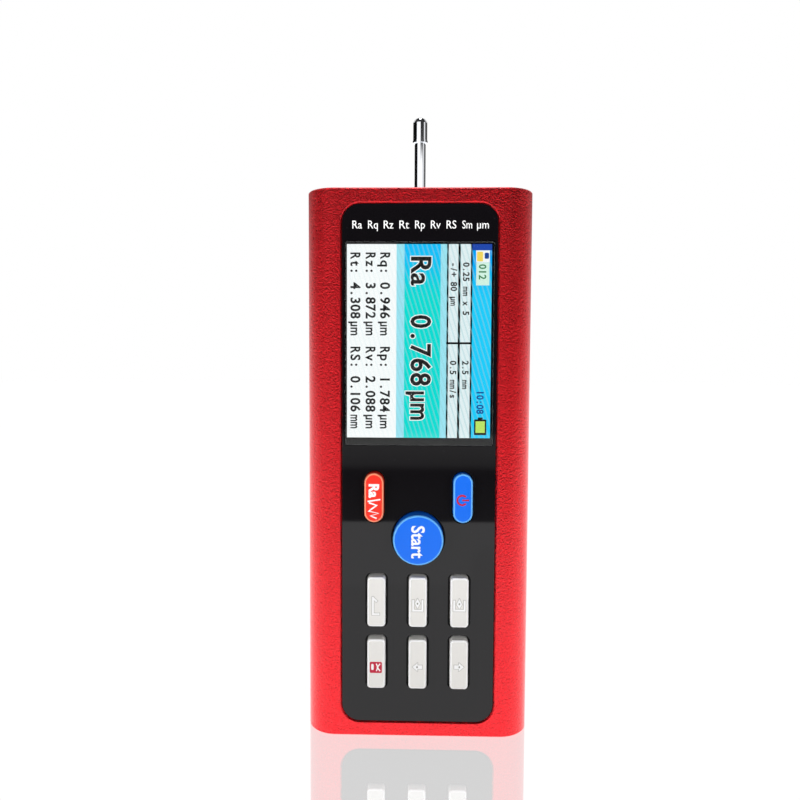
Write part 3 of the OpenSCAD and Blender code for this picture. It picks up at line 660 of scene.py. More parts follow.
# Pale grey painted shade for the halo round the raised key marks.
PAINTED_SHADE_INK = Ink("painted_shade_ink", (196, 194, 190), mottle=0.06)
INK_GREY = Ink("ink_grey", (150, 149, 144), mottle=0.1)
LIT_WHITE = LitInk("lit_white", (246, 250, 248), mottle=0.03)
LIT_MINT = LitInk("lit_mint", (212, 242, 226), mottle=0.05)
LIT_GREEN = LitInk("lit_green", (52, 128, 78), mottle=0.2)
LIT_LIME = LitInk("lit_lime", (190, 228, 104), mottle=0.12)
LIT_AMBER = LitInk("lit_amber", (244, 214, 96), mottle=0.1)
LIT_NAVY = LitInk("lit_navy", (30, 70, 150), mottle=0.2)
CONTACT_GILT = BrushedMetal(
    "contact_gilt", (224, 184, 96), 0.2, grain=0.06, mottle=0.06, relief=0.001,
)

SLOT_FINISHES: dict[str, Finish] = {
    "red_metal": BlastedAnodising(
        "red_anodised", (250, 32, 42), 0.35, metallic=1.0, coat=0.5, coat_roughness=0.35,
        grain=0.36, mottle=0.25, gloss_spread=0.2, relief=0.13,
    ),
    "black_plastic": Finish(
        "moulded_black", (12, 12, 13), 0.6, grain=0.12, mottle=0.2, relief=0.012,
    ),
    "screw_steel": BrushedMetal(
        "zinc_plated", (186, 190, 196), 0.28, grain=0.06, mottle=0.12, relief=0.003,
    ),
    "panel_black": GlossLacquer(
        "panel_black", (15, 13, 16), 0.035, grain=14.0, mottle=0.1, relief=0.01,
    ),
    "clear_window": ClearSheet(
        "window_clear", (250, 252, 252), 0.02, grain=6.0, mottle=0.01, gloss_spread=0.02,
    ),
    "dark_steel": BrushedMetal(
        "dark_steel", (66, 68, 72), 0.42, grain=0.1, mottle=0.12, relief=0.003, along=Axis.X,
    ),
    "screen": SCREEN_LIT,
    # Each key's rim colour is a painted highlight on its chamfered edges.
    "key_white": MouldedKey(
        "key_white", (233, 231, 227), 0.4, coat=0.05, grain=0.35, mottle=0.02, relief=0.004,
    ),
    "key_blue": MouldedKey(
        "key_blue", (0, 110, 240), 0.34, coat=0.05, grain=0.35, mottle=0.05, relief=0.004,
        rim=(104, 186, 255),
    ),
    "key_red": MouldedKey(
        "key_red", (246, 46, 28), 0.34, coat=0.05, grain=0.35, mottle=0.05, relief=0.004,
        rim=(255, 150, 112),
    ),
    "board": SolderMask("solder_mask", (14, 84, 48), 0.35, coat=0.3, mottle=0.28, relief=0.02),
    "chip_plastic": Finish("chip_plastic", (30, 30, 32), 0.6, grain=0.1, mottle=0.2, relief=0.006),
    "port_steel": BrushedMetal(
        "port_steel", (196, 198, 202), 0.25, grain=0.08, mottle=0.1, relief=0.002,
    ),
    "battery": BrushedMetal(
        "shrink_sleeve", (58, 96, 150), 0.3, metallic=0.0, grain=1.6, mottle=0.12, relief=0.04,
        along=Axis.X, stretch=9.0,
    ),
    "brass": BRASS,
    "bronze": Finish(
        "sintered_bronze", (158, 108, 62), 0.48, metallic=1.0, grain=0.09, mottle=0.3,
        relief=0.008,
    ),
    "bare_aluminium": BrushedMetal(
        "milled_aluminium", (206, 208, 212), 0.36, grain=0.3, mottle=0.07, relief=0.004,
        along=Axis.X,
    ),
    "ground_steel": GROUND_STEEL,
    "chrome": BrushedMetal(
        "chrome", (232, 234, 238), 0.05, grain=0.12, mottle=0.03, gloss_spread=0.04, relief=0.0006,
    ),
}


def link(name: str, data: bpy.types.ID) -> bpy.types.Object:
    """Puts data into the scene as a new object.

    Args:
        name: The object's name.
        data: What it holds.

    Returns:
        The new object.
    """
    made = bpy.data.objects.new(name, data)
    bpy.context.scene.collection.objects.link(made)
    return made


def mesh_of(name: str, shape: bmesh.types.BMesh) -> bpy.types.Mesh:
    """Turns a shape into a mesh.

    Args:
        name: The mesh's name.
        shape: The shape, which is freed.

    Returns:
        The mesh.
    """
    mesh = bpy.data.meshes.new(name)
    shape.to_mesh(mesh)
    shape.free()
    return mesh


def add_piece(
    name: str, shape: bmesh.types.BMesh, finish: Finish, body: str
) -> bpy.types.Object:
    """Turns a finished shape into a piece that rides on a body.

    Args:
        name: The piece's name.
        shape: The shape in metres at its place, which is freed.
        finish: What it is finished with.
        body: The body that it rides on.

    Returns:
        The new object.
    """
    mesh = mesh_of(name, shape)
    mesh.shade_smooth()
    mesh.set_sharp_from_angle(angle=math.radians(SMOOTH_ANGLE))
    mesh.materials.append(finish.material())
    piece = link(name, mesh)
    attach(piece, body)
    LOG.info("%s rides on %s, %d faces", name, body, len(mesh.polygons))
    return piece


def spin_section(
    shape: bmesh.types.BMesh,
    section: Sequence[Vector],
    middle: Sequence[float],
    angle: float,
    steps: int,
    rise: float = 0.0,
) -> None:
    """Spins a closed section about an upright axis and closes both ends.

    Args:
        shape: Where it is added.
        section: The section's corners.
        middle: A point on the axis.
        angle: How far it is spun, in radians.
        steps: How many steps that takes.
        rise: How far each step climbs.
    """
    verts = [shape.verts.new(corner) for corner in section]
    edges = [shape.edges.new(pair) for pair in zip(verts, verts[1:] + verts[:1])]
    turn = {"cent": middle, "axis": (0, 0, 1), "dvec": (0, 0, rise), "angle": angle}
    made = bmesh.ops.spin(shape, geom=verts + edges, steps=steps, **turn)
    last = [g for g in made["geom_last"] if isinstance(g, bmesh.types.BMEdge)]
    bmesh.ops.holes_fill(shape, edges=edges + last, sides=len(verts))


class Facing(Enum):
    """The directions of print on the part: along its reading, up its letters, and outwards."""

    FRONT_DOWNWARDS = ((0, 0, -1), (1, 0, 0), (0, -1, 0))
    FRONT_UPRIGHT = ((1, 0, 0), (0, 0, 1), (0, -1, 0))
    FOOT = ((1, 0, 0), (0, -1, 0), (0, 0, -1))

    def matrix(self, origin: Vector) -> Matrix:
        """Gives the transform from print in mm to the part, with its origin in metres."""
        turn = Matrix(self.value).transposed().to_4x4()
        return Matrix.Translation(origin) @ turn @ Matrix.Scale(MM, 4)


class Print:
    """Marks of one colour on one plane, drawn in mm and a few hundredths thick."""

    WELD: ClassVar[float] = 0.0005
    MITRE: ClassVar[float] = 0.3
    LAYER: ClassVar[float] = 0.002
    CELL_SHARE: ClassVar[float] = 0.82
    LETTER_STEPS: ClassVar[int] = 3
    CORNER_STEPS: ClassVar[int] = 4
    ARC_STEP: ClassVar[float] = 10.0
    measured: ClassVar[dict[str, Point]] = {}

    def __init__(self, low: float, high: float) -> None:
        """Starts empty.

        Args:
            low: The ink's foot over the plane in mm, below 0 where it is sunk.
            high: The ink's face over the plane in mm.
        """
        self.shape = bmesh.new()
        self.low = low
        self.high = high
        self.strokes = 0

    @property
    def thick(self) -> float:
        """The ink's thickness in mm."""
        return self.high - self.low

    @property
    def mid(self) -> float:
        """The middle of the ink's thickness over the plane in mm."""
        return (self.high + self.low) / 2

    @staticmethod
    def letter_mesh(words: str, bold: float) -> bpy.types.Mesh:
        """Makes words into a mesh.

        Args:
            words: What is written.
            bold: How far the outlines grow, for a letter size of 1.

        Returns:
            A mesh that is 1 thick.
        """
        curve = bpy.data.curves.new("words", "FONT")
        curve.body = words
        curve.offset = bold
        curve.extrude = 0.5
        curve.resolution_u = Print.LETTER_STEPS
        holder = link("words", curve)
        shown = holder.evaluated_get(bpy.context.evaluated_depsgraph_get())
        mesh = bpy.data.meshes.new_from_object(shown)
        bpy.data.objects.remove(holder)
        bpy.data.curves.remove(curve)
        return mesh

    @classmethod
    def measure(cls, letter: str) -> Point:
        """Gives a letter's width and the height of its top, for a letter size of 1."""
        if letter not in cls.measured:
            mesh = cls.letter_mesh(letter, 0.0)
            spots = [v.co for v in mesh.vertices] or [Vector()]
            across = [spot.x for spot in spots]
            cls.measured[letter] = (max(across) - min(across), max(spot.y for spot in spots))
            bpy.data.meshes.remove(mesh)
        return cls.measured[letter]

    def words(self, words: str, span: Point, base: float, cap: float, bold: float) -> "Print":
        """Writes words that fill a span.

        Args:
            words: What is written.
            span: Where the words start and end along the reading direction.
            base: The base line's height.
            cap: A capital's height.
            bold: How far the outlines grow in mm.

        Returns:
            This print.
        """
        size = cap / self.measure("H")[1]
        mesh = self.letter_mesh(words, bold / size)
        low = min(v.co.x for v in mesh.vertices)
        high = max(v.co.x for v in mesh.vertices)
        stretch = (span[1] - span[0]) / (high - low)
        scale = Matrix.Diagonal((stretch, size, self.thick, 1))
        shift = Matrix.Translation((span[0], base, self.mid))
        mesh.transform(shift @ scale @ Matrix.Translation((-low, 0, 0)))
        self.shape.from_mesh(mesh)
        bpy.data.meshes.remove(mesh)
        return self

    def cells(
        self, words: str, first: float, pitch: float, base: float, cap: float, bold: float
    ) -> "Print":
        """Writes words with every letter in the middle of a cell of its own.

        Args:
            words: What is written.
            first: The middle of the first cell along the reading direction.
            pitch: The distance from cell to cell.
            base: The base line's height.
            cap: A capital's height.
            bold: How far the outlines grow in mm.

        Returns:
            This print.
        """
        for index, letter in enumerate(words):
            middle = first + index * pitch
            width = self.measure(letter)[0] * cap / self.measure("H")[1]
            half = min(width, self.CELL_SHARE * pitch) / 2 + bold
            if letter != " ":
                self.words(letter, (middle - half, middle + half), base, cap, bold)
        return self

    def path(self, points: Sequence[Point], width: float) -> "Print":
        """Draws a stroke from point to point, with mitred corners and square ends.

        Args:
            points: The stroke's points.
            width: The stroke's width.

        Returns:
            This print.
        """
        spots = [Vector(point) for point in points]
        lines = [(b - a).normalized() for a, b in zip(spots, spots[1:])]
        spots[0] -= lines[0] * width / 2
        spots[-1] += lines[-1] * width / 2
        left, right = [], []
        for spot, before, after in zip(spots, lines[:1] + lines, lines + lines[-1:]):
            across = (before.orthogonal() + after.orthogonal()) / 2
            across *= width / 2 / max(across.length_squared, self.MITRE)
            left.append(spot - across)
            right.append(spot + across)
        return self.patch(left + right[::-1])

    def patch(self, points: Sequence[Point]) -> "Print":
        """Draws a filled outline.

        Args:
            points: The outline's corners.

        Returns:
            This print.
        """
        face = self.shape.faces.new([self.shape.verts.new((*point, self.low)) for point in points])
        made = bmesh.ops.extrude_face_region(self.shape, geom=[face])
        top = [g for g in made["geom"] if isinstance(g, bmesh.types.BMVert)]
        self.strokes += 1
        rise = self.thick + self.LAYER * self.strokes
        bmesh.ops.translate(self.shape, vec=(0, 0, rise), verts=top)
        return self

    def plate(self, middle: Point, size: Point, corner: float = 0.0) -> "Print":
        """Draws a filled rectangle.

        Args:
            middle: Its middle.
            size: Its length along the reading direction and its height.
            corner: The radius of its corners.

        Returns:
            This print.
        """
        place = Matrix.Translation((*middle, self.mid)) @ Matrix.Diagonal((*size, self.thick, 1))
        made = bmesh.ops.create_cube(self.shape, size=1, matrix=place)
        edges = {e for v in made["verts"] for e in v.link_edges}
        upright = [e for e in edges if abs((e.verts[0].co - e.verts[1].co).z) > self.thick / 2]
        if corner:
            arc = {"offset": corner, "segments": self.CORNER_STEPS, "profile": 0.5}
            bmesh.ops.bevel(self.shape, geom=upright, affect="EDGES", material=-1, **arc)
        return self

    def arc(
        self, middle: Point, radius: float, width: float, start: float, sweep: float
    ) -> "Print":
        """Draws a part of a ring.

        Args:
            middle: The ring's middle.
            radius: The stroke's middle radius.
            width: The stroke's width.
            start: Where it starts, in degrees from the reading direction.
            sweep: How far it goes, in degrees.

        Returns:
            This print.
        """
        inner, outer = radius - width / 2, radius + width / 2
        ends = ((inner, self.low), (outer, self.low), (outer, self.high), (inner, self.high))
        turn = Matrix.Translation((*middle, 0)) @ Matrix.Rotation(math.radians(start), 4, "Z")
        section = [turn @ Vector((r, 0, z)) for r, z in ends]
        steps = round(sweep / self.ARC_STEP)
        spin_section(self.shape, section, (*middle, 0), math.radians(sweep), steps)
        return self

    def place(
        self, name: str, facing: Facing, origin: Vector, finish: Finish, body: str, slot: str
    ) -> bpy.types.Object:
        """Puts the print on the part.

        Args:
            name: The piece's name.
            facing: How it lies.
            origin: Where its own origin lies, in metres.
            finish: Its ink.
            body: The body that it rides on.
            slot: The record's material slot; not used.

        Returns:
            The new piece.
        """
        bmesh.ops.remove_doubles(self.shape, verts=self.shape.verts, dist=self.WELD)
        bmesh.ops.recalc_face_normals(self.shape, faces=self.shape.faces)
        bmesh.ops.transform(self.shape, matrix=facing.matrix(origin), verts=self.shape.verts)
        return add_piece(name, self.shape, finish, body)


@dataclass
class Thread:
    """A screw thread's ridge, swept along its helix.

    Attributes:
        root: Radius of the ridge's foot in mm.
        crest: Radius of the ridge's top in mm.
        pitch: Rise for each turn in mm.
        length: The thread's length in mm.
        foot_share: The ridge's width at its foot, as a share of the pitch.
        top_share: The ridge's width at its top, as a share of the pitch.
        steps: Steps for each turn.
    """

    root: float
    crest: float
    pitch: float
    length: float
    foot_share: float = 0.7
    top_share: float = 0.3
    steps: int = 20

    def sweep(self, shape: bmesh.types.BMesh) -> None:
        """Sweeps the ridge up from the plane z = 0 along the z axis, in mm.

        Args:
            shape: Where it is added.
        """
        foot = self.foot_share * self.pitch / 2
        top = self.top_share * self.pitch / 2
        count = round((self.length - 2 * foot) / self.pitch * self.steps)
        points = ((self.root, -foot), (self.crest, -top), (self.crest, top), (self.root, foot))
        section = [Vector((r, 0, foot + z)) for r, z in points]
        angle = 2 * math.pi * count / self.steps
        spin_section(shape, section, (0, 0, 0), angle, count, self.pitch / self.steps)
        bmesh.ops.recalc_face_normals(shape, faces=shape.faces)


class Assembly:
    """A sub-assembly, which dresses its CAD nodes and adds pieces of its own."""

    nodes: ClassVar[tuple[str, ...]] = ()

    @staticmethod
    def slot(node: str) -> str:
        """Gives a node's material slot."""
        rows = frame["record"]["subparts"]
        return next(row["material_slot"] for row in rows if row["node"] == node)

    def dress(self) -> None:
        """Gives each node the finish of its slot."""
        for node in self.nodes:
            self.coat(node, SLOT_FINISHES[self.slot(node)])

    @staticmethod
    def coat(node: str, finish: Finish) -> None:
        """Gives one node a finish.

        Args:
            node: The CAD node.
            finish: Its finish.
        """
        mesh = frame["nodes"][node].data
        mesh.materials.clear()
        mesh.materials.append(finish.material())
        LOG.info("%s is finished in %s", node, finish.name)

    @staticmethod
    def middle(node: str) -> Vector:
        """Gives the middle of a node's box in metres."""
        low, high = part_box(node)
        return (low + high) / 2

    @classmethod
    def front(cls, node: str) -> Vector:
        """Gives the middle of a node's front in metres."""
        spot = cls.middle(node)
        spot.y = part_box(node)[0].y
        return spot

    def build(self) -> None:
        """Adds pieces, where the sub-assembly has any."""


@dataclass
class Casing(Assembly):
    """The red tube, its end caps with what they carry, and the stand socket in its back.

    Attributes:
        thread_root: Radius of the stand thread's foot in mm.
        thread_crest: Radius of the stand thread's top in mm.
        thread_pitch: The stand thread's pitch in mm.
        thread_length: The stand thread's length in mm.
        thread_start: How far it starts inside the socket's mouth in mm.
        thread_steps: Steps for each turn of it.
        switch_ink: Foot and face of the switch's letters over the cap in mm.
        switch_cap: Height of the switch's letters in mm.
        switch_bold: How far their outlines grow in mm.
    """

    thread_root: float = 2.15
    thread_crest: float = 1.88
    thread_pitch: float = 0.8
    thread_length: float = 6.6
    thread_start: float = 0.2
    thread_steps: int = 24
    switch_ink: Point = (-0.2, 0.12)
    switch_cap: float = 1.3
    switch_bold: float = 0.05

    nodes: ClassVar[tuple[str, ...]] = (
        "housing", "top_cap", "bottom_cap", "top_cap_screws", "bottom_cap_screws",
        "stand_socket", "data_socket", "switch_body", "switch_slider",
    )
    SWITCH_WORDS: ClassVar[tuple[tuple[str, Point], ...]] = (
        ("ON", (3.6, 6.2)),
        ("OFF", (-6.8, -3.6)),
    )

    def dress(self) -> None:
        """Gives the nodes their finishes, with a smoother slider."""
        super().dress()
        self.coat("switch_slider", SLIDER_BLACK)

    def build(self) -> None:
        """Adds the socket's thread and the switch's letters."""
        self.cut_thread()
        self.mark_switch()

    def cut_thread(self) -> None:
        """Winds the thread round the stand socket's bore."""
        size = (self.thread_root, self.thread_crest, self.thread_pitch, self.thread_length)
        shape = bmesh.new()
        Thread(*size, steps=self.thread_steps).sweep(shape)
        mouth = self.middle("stand_socket")
        mouth.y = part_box("stand_socket")[1].y - self.thread_start * MM
        turn = Matrix.Rotation(math.radians(90), 4, "X")
        place = Matrix.Translation(mouth) @ turn @ Matrix.Scale(MM, 4)
        bmesh.ops.transform(shape, matrix=place, verts=shape.verts)
        add_piece("stand_thread", shape, BRASS, ROOT)

    def mark_switch(self) -> None:
        """Writes ON and OFF beside the battery switch, on the lower cap."""
        origin = self.middle("switch_body")
        origin.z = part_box("bottom_cap")[0].z
        letters = Print(*self.switch_ink)
        for words, span in self.SWITCH_WORDS:
            letters.words(words, span, -self.switch_cap / 2, self.switch_cap, self.switch_bold)
        letters.place("switch_letters", Facing.FOOT, origin, INK_WHITE, ROOT, "key_white")


@dataclass
class FrontPanel(Assembly):
    """The gloss front panel with the parameter symbols printed over the display.

    Attributes:
        symbols: The printed symbols from left to right.
        span: The row's width in mm.
        base_z: The row's base line in mm.
        cap: A capital's height in mm.
        symbol_width: A symbol's width as a share of that height.
        unit_width: The unit's width as a share of that height.
        bold: How far the outlines grow in mm.
        ink: Foot and face of the print over the panel in mm.
    """

    symbols: tuple[str, ...] = ("Ra", "Rq", "Rz", "Rt", "Rp", "Rv", "RS", "Sm", "µm")
    span: float = 31.2
    base_z: float = 129.9
    cap: float = 1.95
    symbol_width: float = 1.25
    unit_width: float = 1.5
    bold: float = 0.005
    ink: Point = (-0.01, 0.02)

    nodes: ClassVar[tuple[str, ...]] = ("front_panel",)

    def build(self) -> None:
        """Prints the row of symbols."""
        row = Print(*self.ink)
        step = self.span / (len(self.symbols) - 1)
        for index, symbol in enumerate(self.symbols):
            middle = -self.span / 2 + index * step
            width = self.cap * (self.unit_width if symbol == "µm" else self.symbol_width)
            row.words(symbol, (middle - width / 2, middle + width / 2), 0, self.cap, self.bold)
        origin = self.front("front_panel")
        origin.z = self.base_z * MM
        row.place("panel_symbols", Facing.FRONT_UPRIGHT, origin, INK_WHITE, ROOT, "key_white")


@dataclass
class Display(Assembly):
    """The display behind its window, with the readings that stand on it.

    Attributes:
        ink_low: Foot of the readings over the display glass in mm.
        ink_high: Face of the readings over the display glass in mm.
        under_low: Foot of what lies below the readings in mm.
        under_high: Face of what lies below the readings in mm.
        large_cap: Height of the large reading's capitals in mm.
        large_pitch: Distance from digit to digit of the large reading in mm.
        small_cap: Height of the small readings' capitals in mm.
        small_pitch: Distance from letter to letter of the small readings in mm.
        strip_cap: Height of the capitals in the two strips in mm.
        strip_pitch: Distance from letter to letter in the strips in mm.
        outline_bold: How far the large reading's white outline grows in mm.
        large_bold: How far the large reading's letters grow in mm.
        small_bold: How far the small readings' letters grow in mm.
        unit_bold: How far the small readings' units grow in mm.
        strip_bold: How far the strips' letters grow in mm.
    """

    ink_low: float = 0.012
    ink_high: float = 0.026
    under_low: float = 0.004
    under_high: float = 0.018
    large_cap: float = 4.87
    large_pitch: float = 3.64
    small_cap: float = 2.33
    small_pitch: float = 1.853
    strip_cap: float = 1.5
    strip_pitch: float = 1.21
    outline_bold: float = 0.36
    large_bold: float = 0.14
    small_bold: float = 0.09
    unit_bold: float = 0.08
    strip_bold: float = 0.06

    nodes: ClassVar[tuple[str, ...]] = (
        "display_window", "display_glass", "display_module", "display_holder",
    )

    ROWS: ClassVar[tuple[float, ...]] = (8.49, 4.84, 1.0)
    COLUMNS: ClassVar[tuple[float, ...]] = (2.96, 26.57)
    READINGS: ClassVar[tuple[tuple[str, str], ...]] = (
        ("Rq: 0.946", "µm"),
        ("Rz: 3.872", "µm"),
        ("Rt: 4.308", "µm"),
        ("Rp: 1.784", "µm"),
        ("Rv: 2.088", "µm"),
        ("RS: 0.106", "mm"),
    )
    UNIT: ClassVar[Point] = (16.4, 19.9)
    LARGE: ClassVar[tuple[tuple[str, Point], ...]] = (("Ra", (3.27, 10.2)), ("µm", (37.1, 44.05)))
    LARGE_NUMBER: ClassVar[str] = "0.768"
    LARGE_FIRST: ClassVar[float] = 19.33
    LARGE_BASE: ClassVar[float] = 16.26
    STRIPS: ClassVar[tuple[tuple[str, float, float], ...]] = (
        ("0.25 mm x 5", 5.1, 29.25),
        ("2.5 mm", 29.7, 29.25),
        ("-/+ 80 µm", 5.1, 26.16),
        ("0.5 mm/s", 29.7, 26.16),
    )

    @property
    def origin(self) -> Vector:
        """The upper left corner of the lit area, in metres."""
        low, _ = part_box("display_glass")
        return Vector((SCREEN_LIT.left * MM, low.y, SCREEN_LIT.top * MM))

    def build(self) -> None:
        """Adds the readings, the strips and the status line."""
        self.write_large()
        self.write_small()
        self.draw_status()

    def put(self, name: str, marks: Print, ink: Finish) -> None:
        """Puts marks on the lit area, from its upper left corner."""
        marks.place(name, Facing.FRONT_DOWNWARDS, self.origin, ink, ROOT, "screen")

    def under(self) -> Print:
        """Starts marks that lie below the readings."""
        return Print(self.under_low, self.under_high)

    def over(self) -> Print:
        """Starts marks at the height of the readings."""
        return Print(self.ink_low, self.ink_high)

    def write_large(self) -> None:
        """Writes the large reading in black with a white outline."""
        line = (self.LARGE_BASE, self.large_cap)
        outline, letters = self.under(), self.over()
        for drawn, bold in ((outline, self.outline_bold), (letters, self.large_bold)):
            drawn.cells(self.LARGE_NUMBER, self.LARGE_FIRST, self.large_pitch, *line, bold)
            for words, (start, end) in self.LARGE:
                drawn.words(words, (start - bold, end + bold), *line, bold)
        self.put("reading_outline", outline, LIT_WHITE)
        self.put("reading_large", letters, INK_BLACK)

    def write_small(self) -> None:
        """Writes the six small readings and the two strips."""
        letters = self.over()
        for index, (reading, unit) in enumerate(self.READINGS):
            base = self.ROWS[index % len(self.ROWS)]
            start = self.COLUMNS[index // len(self.ROWS)]
            line = (base, self.small_cap)
            letters.cells(reading, start, self.small_pitch, *line, self.small_bold)
            letters.words(unit, tuple(start + end for end in self.UNIT), *line, self.unit_bold)
        for words, first, base in self.STRIPS:
            letters.cells(words, first, self.strip_pitch, base, self.strip_cap, self.strip_bold)
        self.put("readings_small", letters, INK_BLACK)

    def draw_status(self) -> None:
        """Draws the status line: two symbols, a count, the time and a battery."""
        self.put("status_page", self.under().plate((3.05, 34.15), (2.95, 3.4)), LIT_WHITE)
        self.put("status_box", self.under().plate((7.4, 34.15), (5.7, 3.3)), LIT_MINT)
        self.put("status_count", self.over().cells("012", 5.6, 1.3, 33.2, 1.75, 0.05), LIT_GREEN)
        navy = self.over().plate((2.9, 35.1), (1.5, 1.1), 0.3)
        self.put("status_time", navy.cells("10:08", 37.2, 1.21, 32.95, 1.7, 0.06), LIT_NAVY)
        self.put("status_folder", self.over().plate((3.1, 33.4), (2.4, 1.5), 0.2), LIT_AMBER)
        case = self.under().plate((46.0, 33.9), (4.0, 3.1), 0.25)
        self.put("status_battery", case.plate((43.85, 33.9), (0.7, 1.2), 0.1), INK_BLACK)
        self.put("status_charge", self.over().plate((45.95, 33.9), (2.95, 2.35), 0.1), LIT_LIME)


@dataclass
class Keypad(Assembly):
    """Nine keys in their frame, each with its mark.

    Attributes:
        sink: How far a mark is let into its key in mm.
        rise: How far a printed mark stands proud in mm.
        emboss: How far a raised mark stands proud in mm.
        layer: How far a second colour stands over the first in mm.
        stroke: Width of a mark's strokes in mm.
        painted_shade_halo: Width of the painted shade round a raised mark in mm.
        weld: Corners nearer than this become one, in mm.
        highlight_facing: How far forwards the faces of a key's chamfered edges face, from 0 to 1;
            these faces get the painted highlight.
    """

    sink: float = 0.06
    rise: float = 0.03
    emboss: float = 0.12
    layer: float = 0.02
    stroke: float = 0.45
    painted_shade_halo: float = 0.16
    weld: float = 0.001
    highlight_facing: Point = (0.2, 0.99)

    PAGE_DOWN: ClassVar[tuple[Point, ...]] = (
        (-1.1, -0.08), (0.15, -0.72), (1.5, -0.08), (0.15, 0.6),
    )
    PAGE_UP: ClassVar[tuple[Point, ...]] = (
        (-1.15, -0.03), (0.28, -0.72), (1.45, -0.03), (0.28, 0.66),
    )
    WAVE: ClassVar[tuple[Point, ...]] = (
        (1.24, -1.1), (1.86, 0.7), (2.61, -0.34), (3.37, -1.3), (3.87, 1.2), (4.53, -0.85),
        (5.1, 0.5),
    )
    DOTS: ClassVar[tuple[tuple[str, Point], ...]] = (
        ("key_page_down", (0.2, -0.08)),
        ("key_page_up", (0.2, -0.03)),
        ("key_left", (0.6, -0.1)),
        ("key_right", (0.45, 0.1)),
    )

    nodes: ClassVar[tuple[str, ...]] = (
        "key_frame", "key_start", "key_parameter", "key_power", "key_enter", "key_page_down",
        "key_page_up", "key_menu", "key_left", "key_right",
    )

    def dress(self) -> None:
        """Gives the nodes their finishes and every key a smooth face with a painted highlight on
        its edges.
        """
        super().dress()
        for key in self.nodes[1:]:
            self.smooth(key)

    def smooth(self, key: str) -> None:
        """Puts a smooth copy in a key's place, with its edges marked for the painted highlight.

        Args:
            key: The key's node, which is also its body.
        """
        shape = bmesh.new()
        shape.from_mesh(frame["nodes"][key].data)
        bmesh.ops.remove_doubles(shape, verts=shape.verts, dist=self.weld * MM)
        slot = self.slot(key)
        cap = add_piece(f"{key}_cap", shape, SLOT_FINISHES[slot], key)
        highlight_mask = cap.data.attributes.new(MouldedKey.HIGHLIGHT_ATTRIBUTE, "FLOAT", "FACE")
        side, front = self.highlight_facing
        # Faces that face partly forwards, on the chamfered edges, get the painted highlight.
        for face in cap.data.polygons:
            highlight_mask.data[face.index].value = float(side < -face.normal.y < front)
        cap.modifiers.new("flat_faces", "WEIGHTED_NORMAL").keep_sharp = True
        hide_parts(key)

    def build(self) -> None:
        """Marks every key."""
        start = self.ink(self.rise).words("Start", (-3.74, 4.47), -1.64, 3.17, 0.1)
        self.mark("key_start", start, INK_WHITE)
        self.mark("key_parameter", self.parameter_mark(), INK_WHITE)
        self.mark("key_power", self.power_mark(), INK_CRIMSON)
        # The shade layer is painted shade: a wider pale grey halo under each raised mark stands in
        # for the shading of its embossed edges.
        self.mould("shade", PAINTED_SHADE_INK, self.rise, self.painted_shade_halo)
        self.mould("mark", INK_WHITE, self.emboss, 0)
        menu = self.ink(self.rise).plate((0.86, -0.08), (2.9, 3.1), 0.35)
        self.mark("key_menu", menu, INK_CRIMSON)
        self.mark("key_menu", self.menu_signs(), INK_WHITE, "signs")
        for key, spot in self.DOTS:
            dot = Print(0, self.emboss + self.layer).plate(spot, (0.5, 0.4), 0.15)
            self.mark(key, dot, INK_GREY, "dot")

    def ink(self, high: float) -> Print:
        """Starts a mark that is let into its key and stands proud by a height in mm."""
        return Print(-self.sink, high)

    def mark(self, key: str, drawn: Print, ink: Finish, part: str = "mark") -> None:
        """Puts a mark on the middle of a key, which is also its body."""
        face = (Facing.FRONT_DOWNWARDS, self.front(key))
        drawn.place(f"{key}_{part}", *face, ink, key, "key_white")

    def mould(self, part: str, ink: Finish, high: float, grow: float) -> None:
        """Puts one layer of the moulded marks on five keys.

        Args:
            part: The end of the pieces' names.
            ink: The layer's colour.
            high: How far it stands proud in mm.
            grow: How far its outlines grow in mm.
        """
        page_down = (self.PAGE_DOWN, 2.0, 1.18)
        page_up = (self.PAGE_UP, 1.85, 1.32)
        self.mark("key_enter", self.enter_mark(self.ink(high), grow), ink, part)
        self.mark("key_page_down", self.page_mark(self.ink(high), grow, *page_down), ink, part)
        self.mark("key_page_up", self.page_mark(self.ink(high), grow, *page_up), ink, part)
        self.mark("key_left", self.arrow(self.ink(high), grow, 0.6, -1), ink, part)
        self.mark("key_right", self.arrow(self.ink(high), grow, 0.45, 1), ink, part)

    def parameter_mark(self) -> Print:
        """Draws a parameter symbol, a rule and a short wave."""
        drawn = self.ink(self.rise).words("Ra", (-3.55, -0.05), -1.2, 2.4, 0.14)
        drawn.path([(0.82, -1.4), (0.4, 1.45)], 0.36)
        return drawn.path(self.WAVE, 0.42)

    def power_mark(self) -> Print:
        """Draws a standby symbol."""
        drawn = self.ink(self.rise).arc((0.39, -0.21), 1.2, 0.46, 132, 276)
        return drawn.path([(0.39, 0.0), (0.39, 1.3)], 0.4)

    def enter_mark(self, drawn: Print, grow: float) -> Print:
        """Draws a return arrow with one barb, grown by a distance in mm."""
        width = self.stroke + 2 * grow
        drawn.path([(-1.15, -0.84), (3.05, -0.84), (3.05, 0.6)], width)
        return drawn.path([(-1.15, -0.84), (-0.35, 0.0)], width)

    def page_mark(
        self, drawn: Print, grow: float, kite: Sequence[Point], foot: float, half: float
    ) -> Print:
        """Draws a kite in an open box.

        Args:
            drawn: Where it is drawn.
            grow: How far its outline grows in mm.
            kite: The kite's corners.
            foot: Where the box ends along the reading direction.
            half: Half the box's height.

        Returns:
            The mark.
        """
        box = [(-0.5, -half), (foot, -half), (foot, half), (-0.5, half)]
        drawn.path(box, self.stroke + 2 * grow)
        return self.filled(drawn, grow, kite)

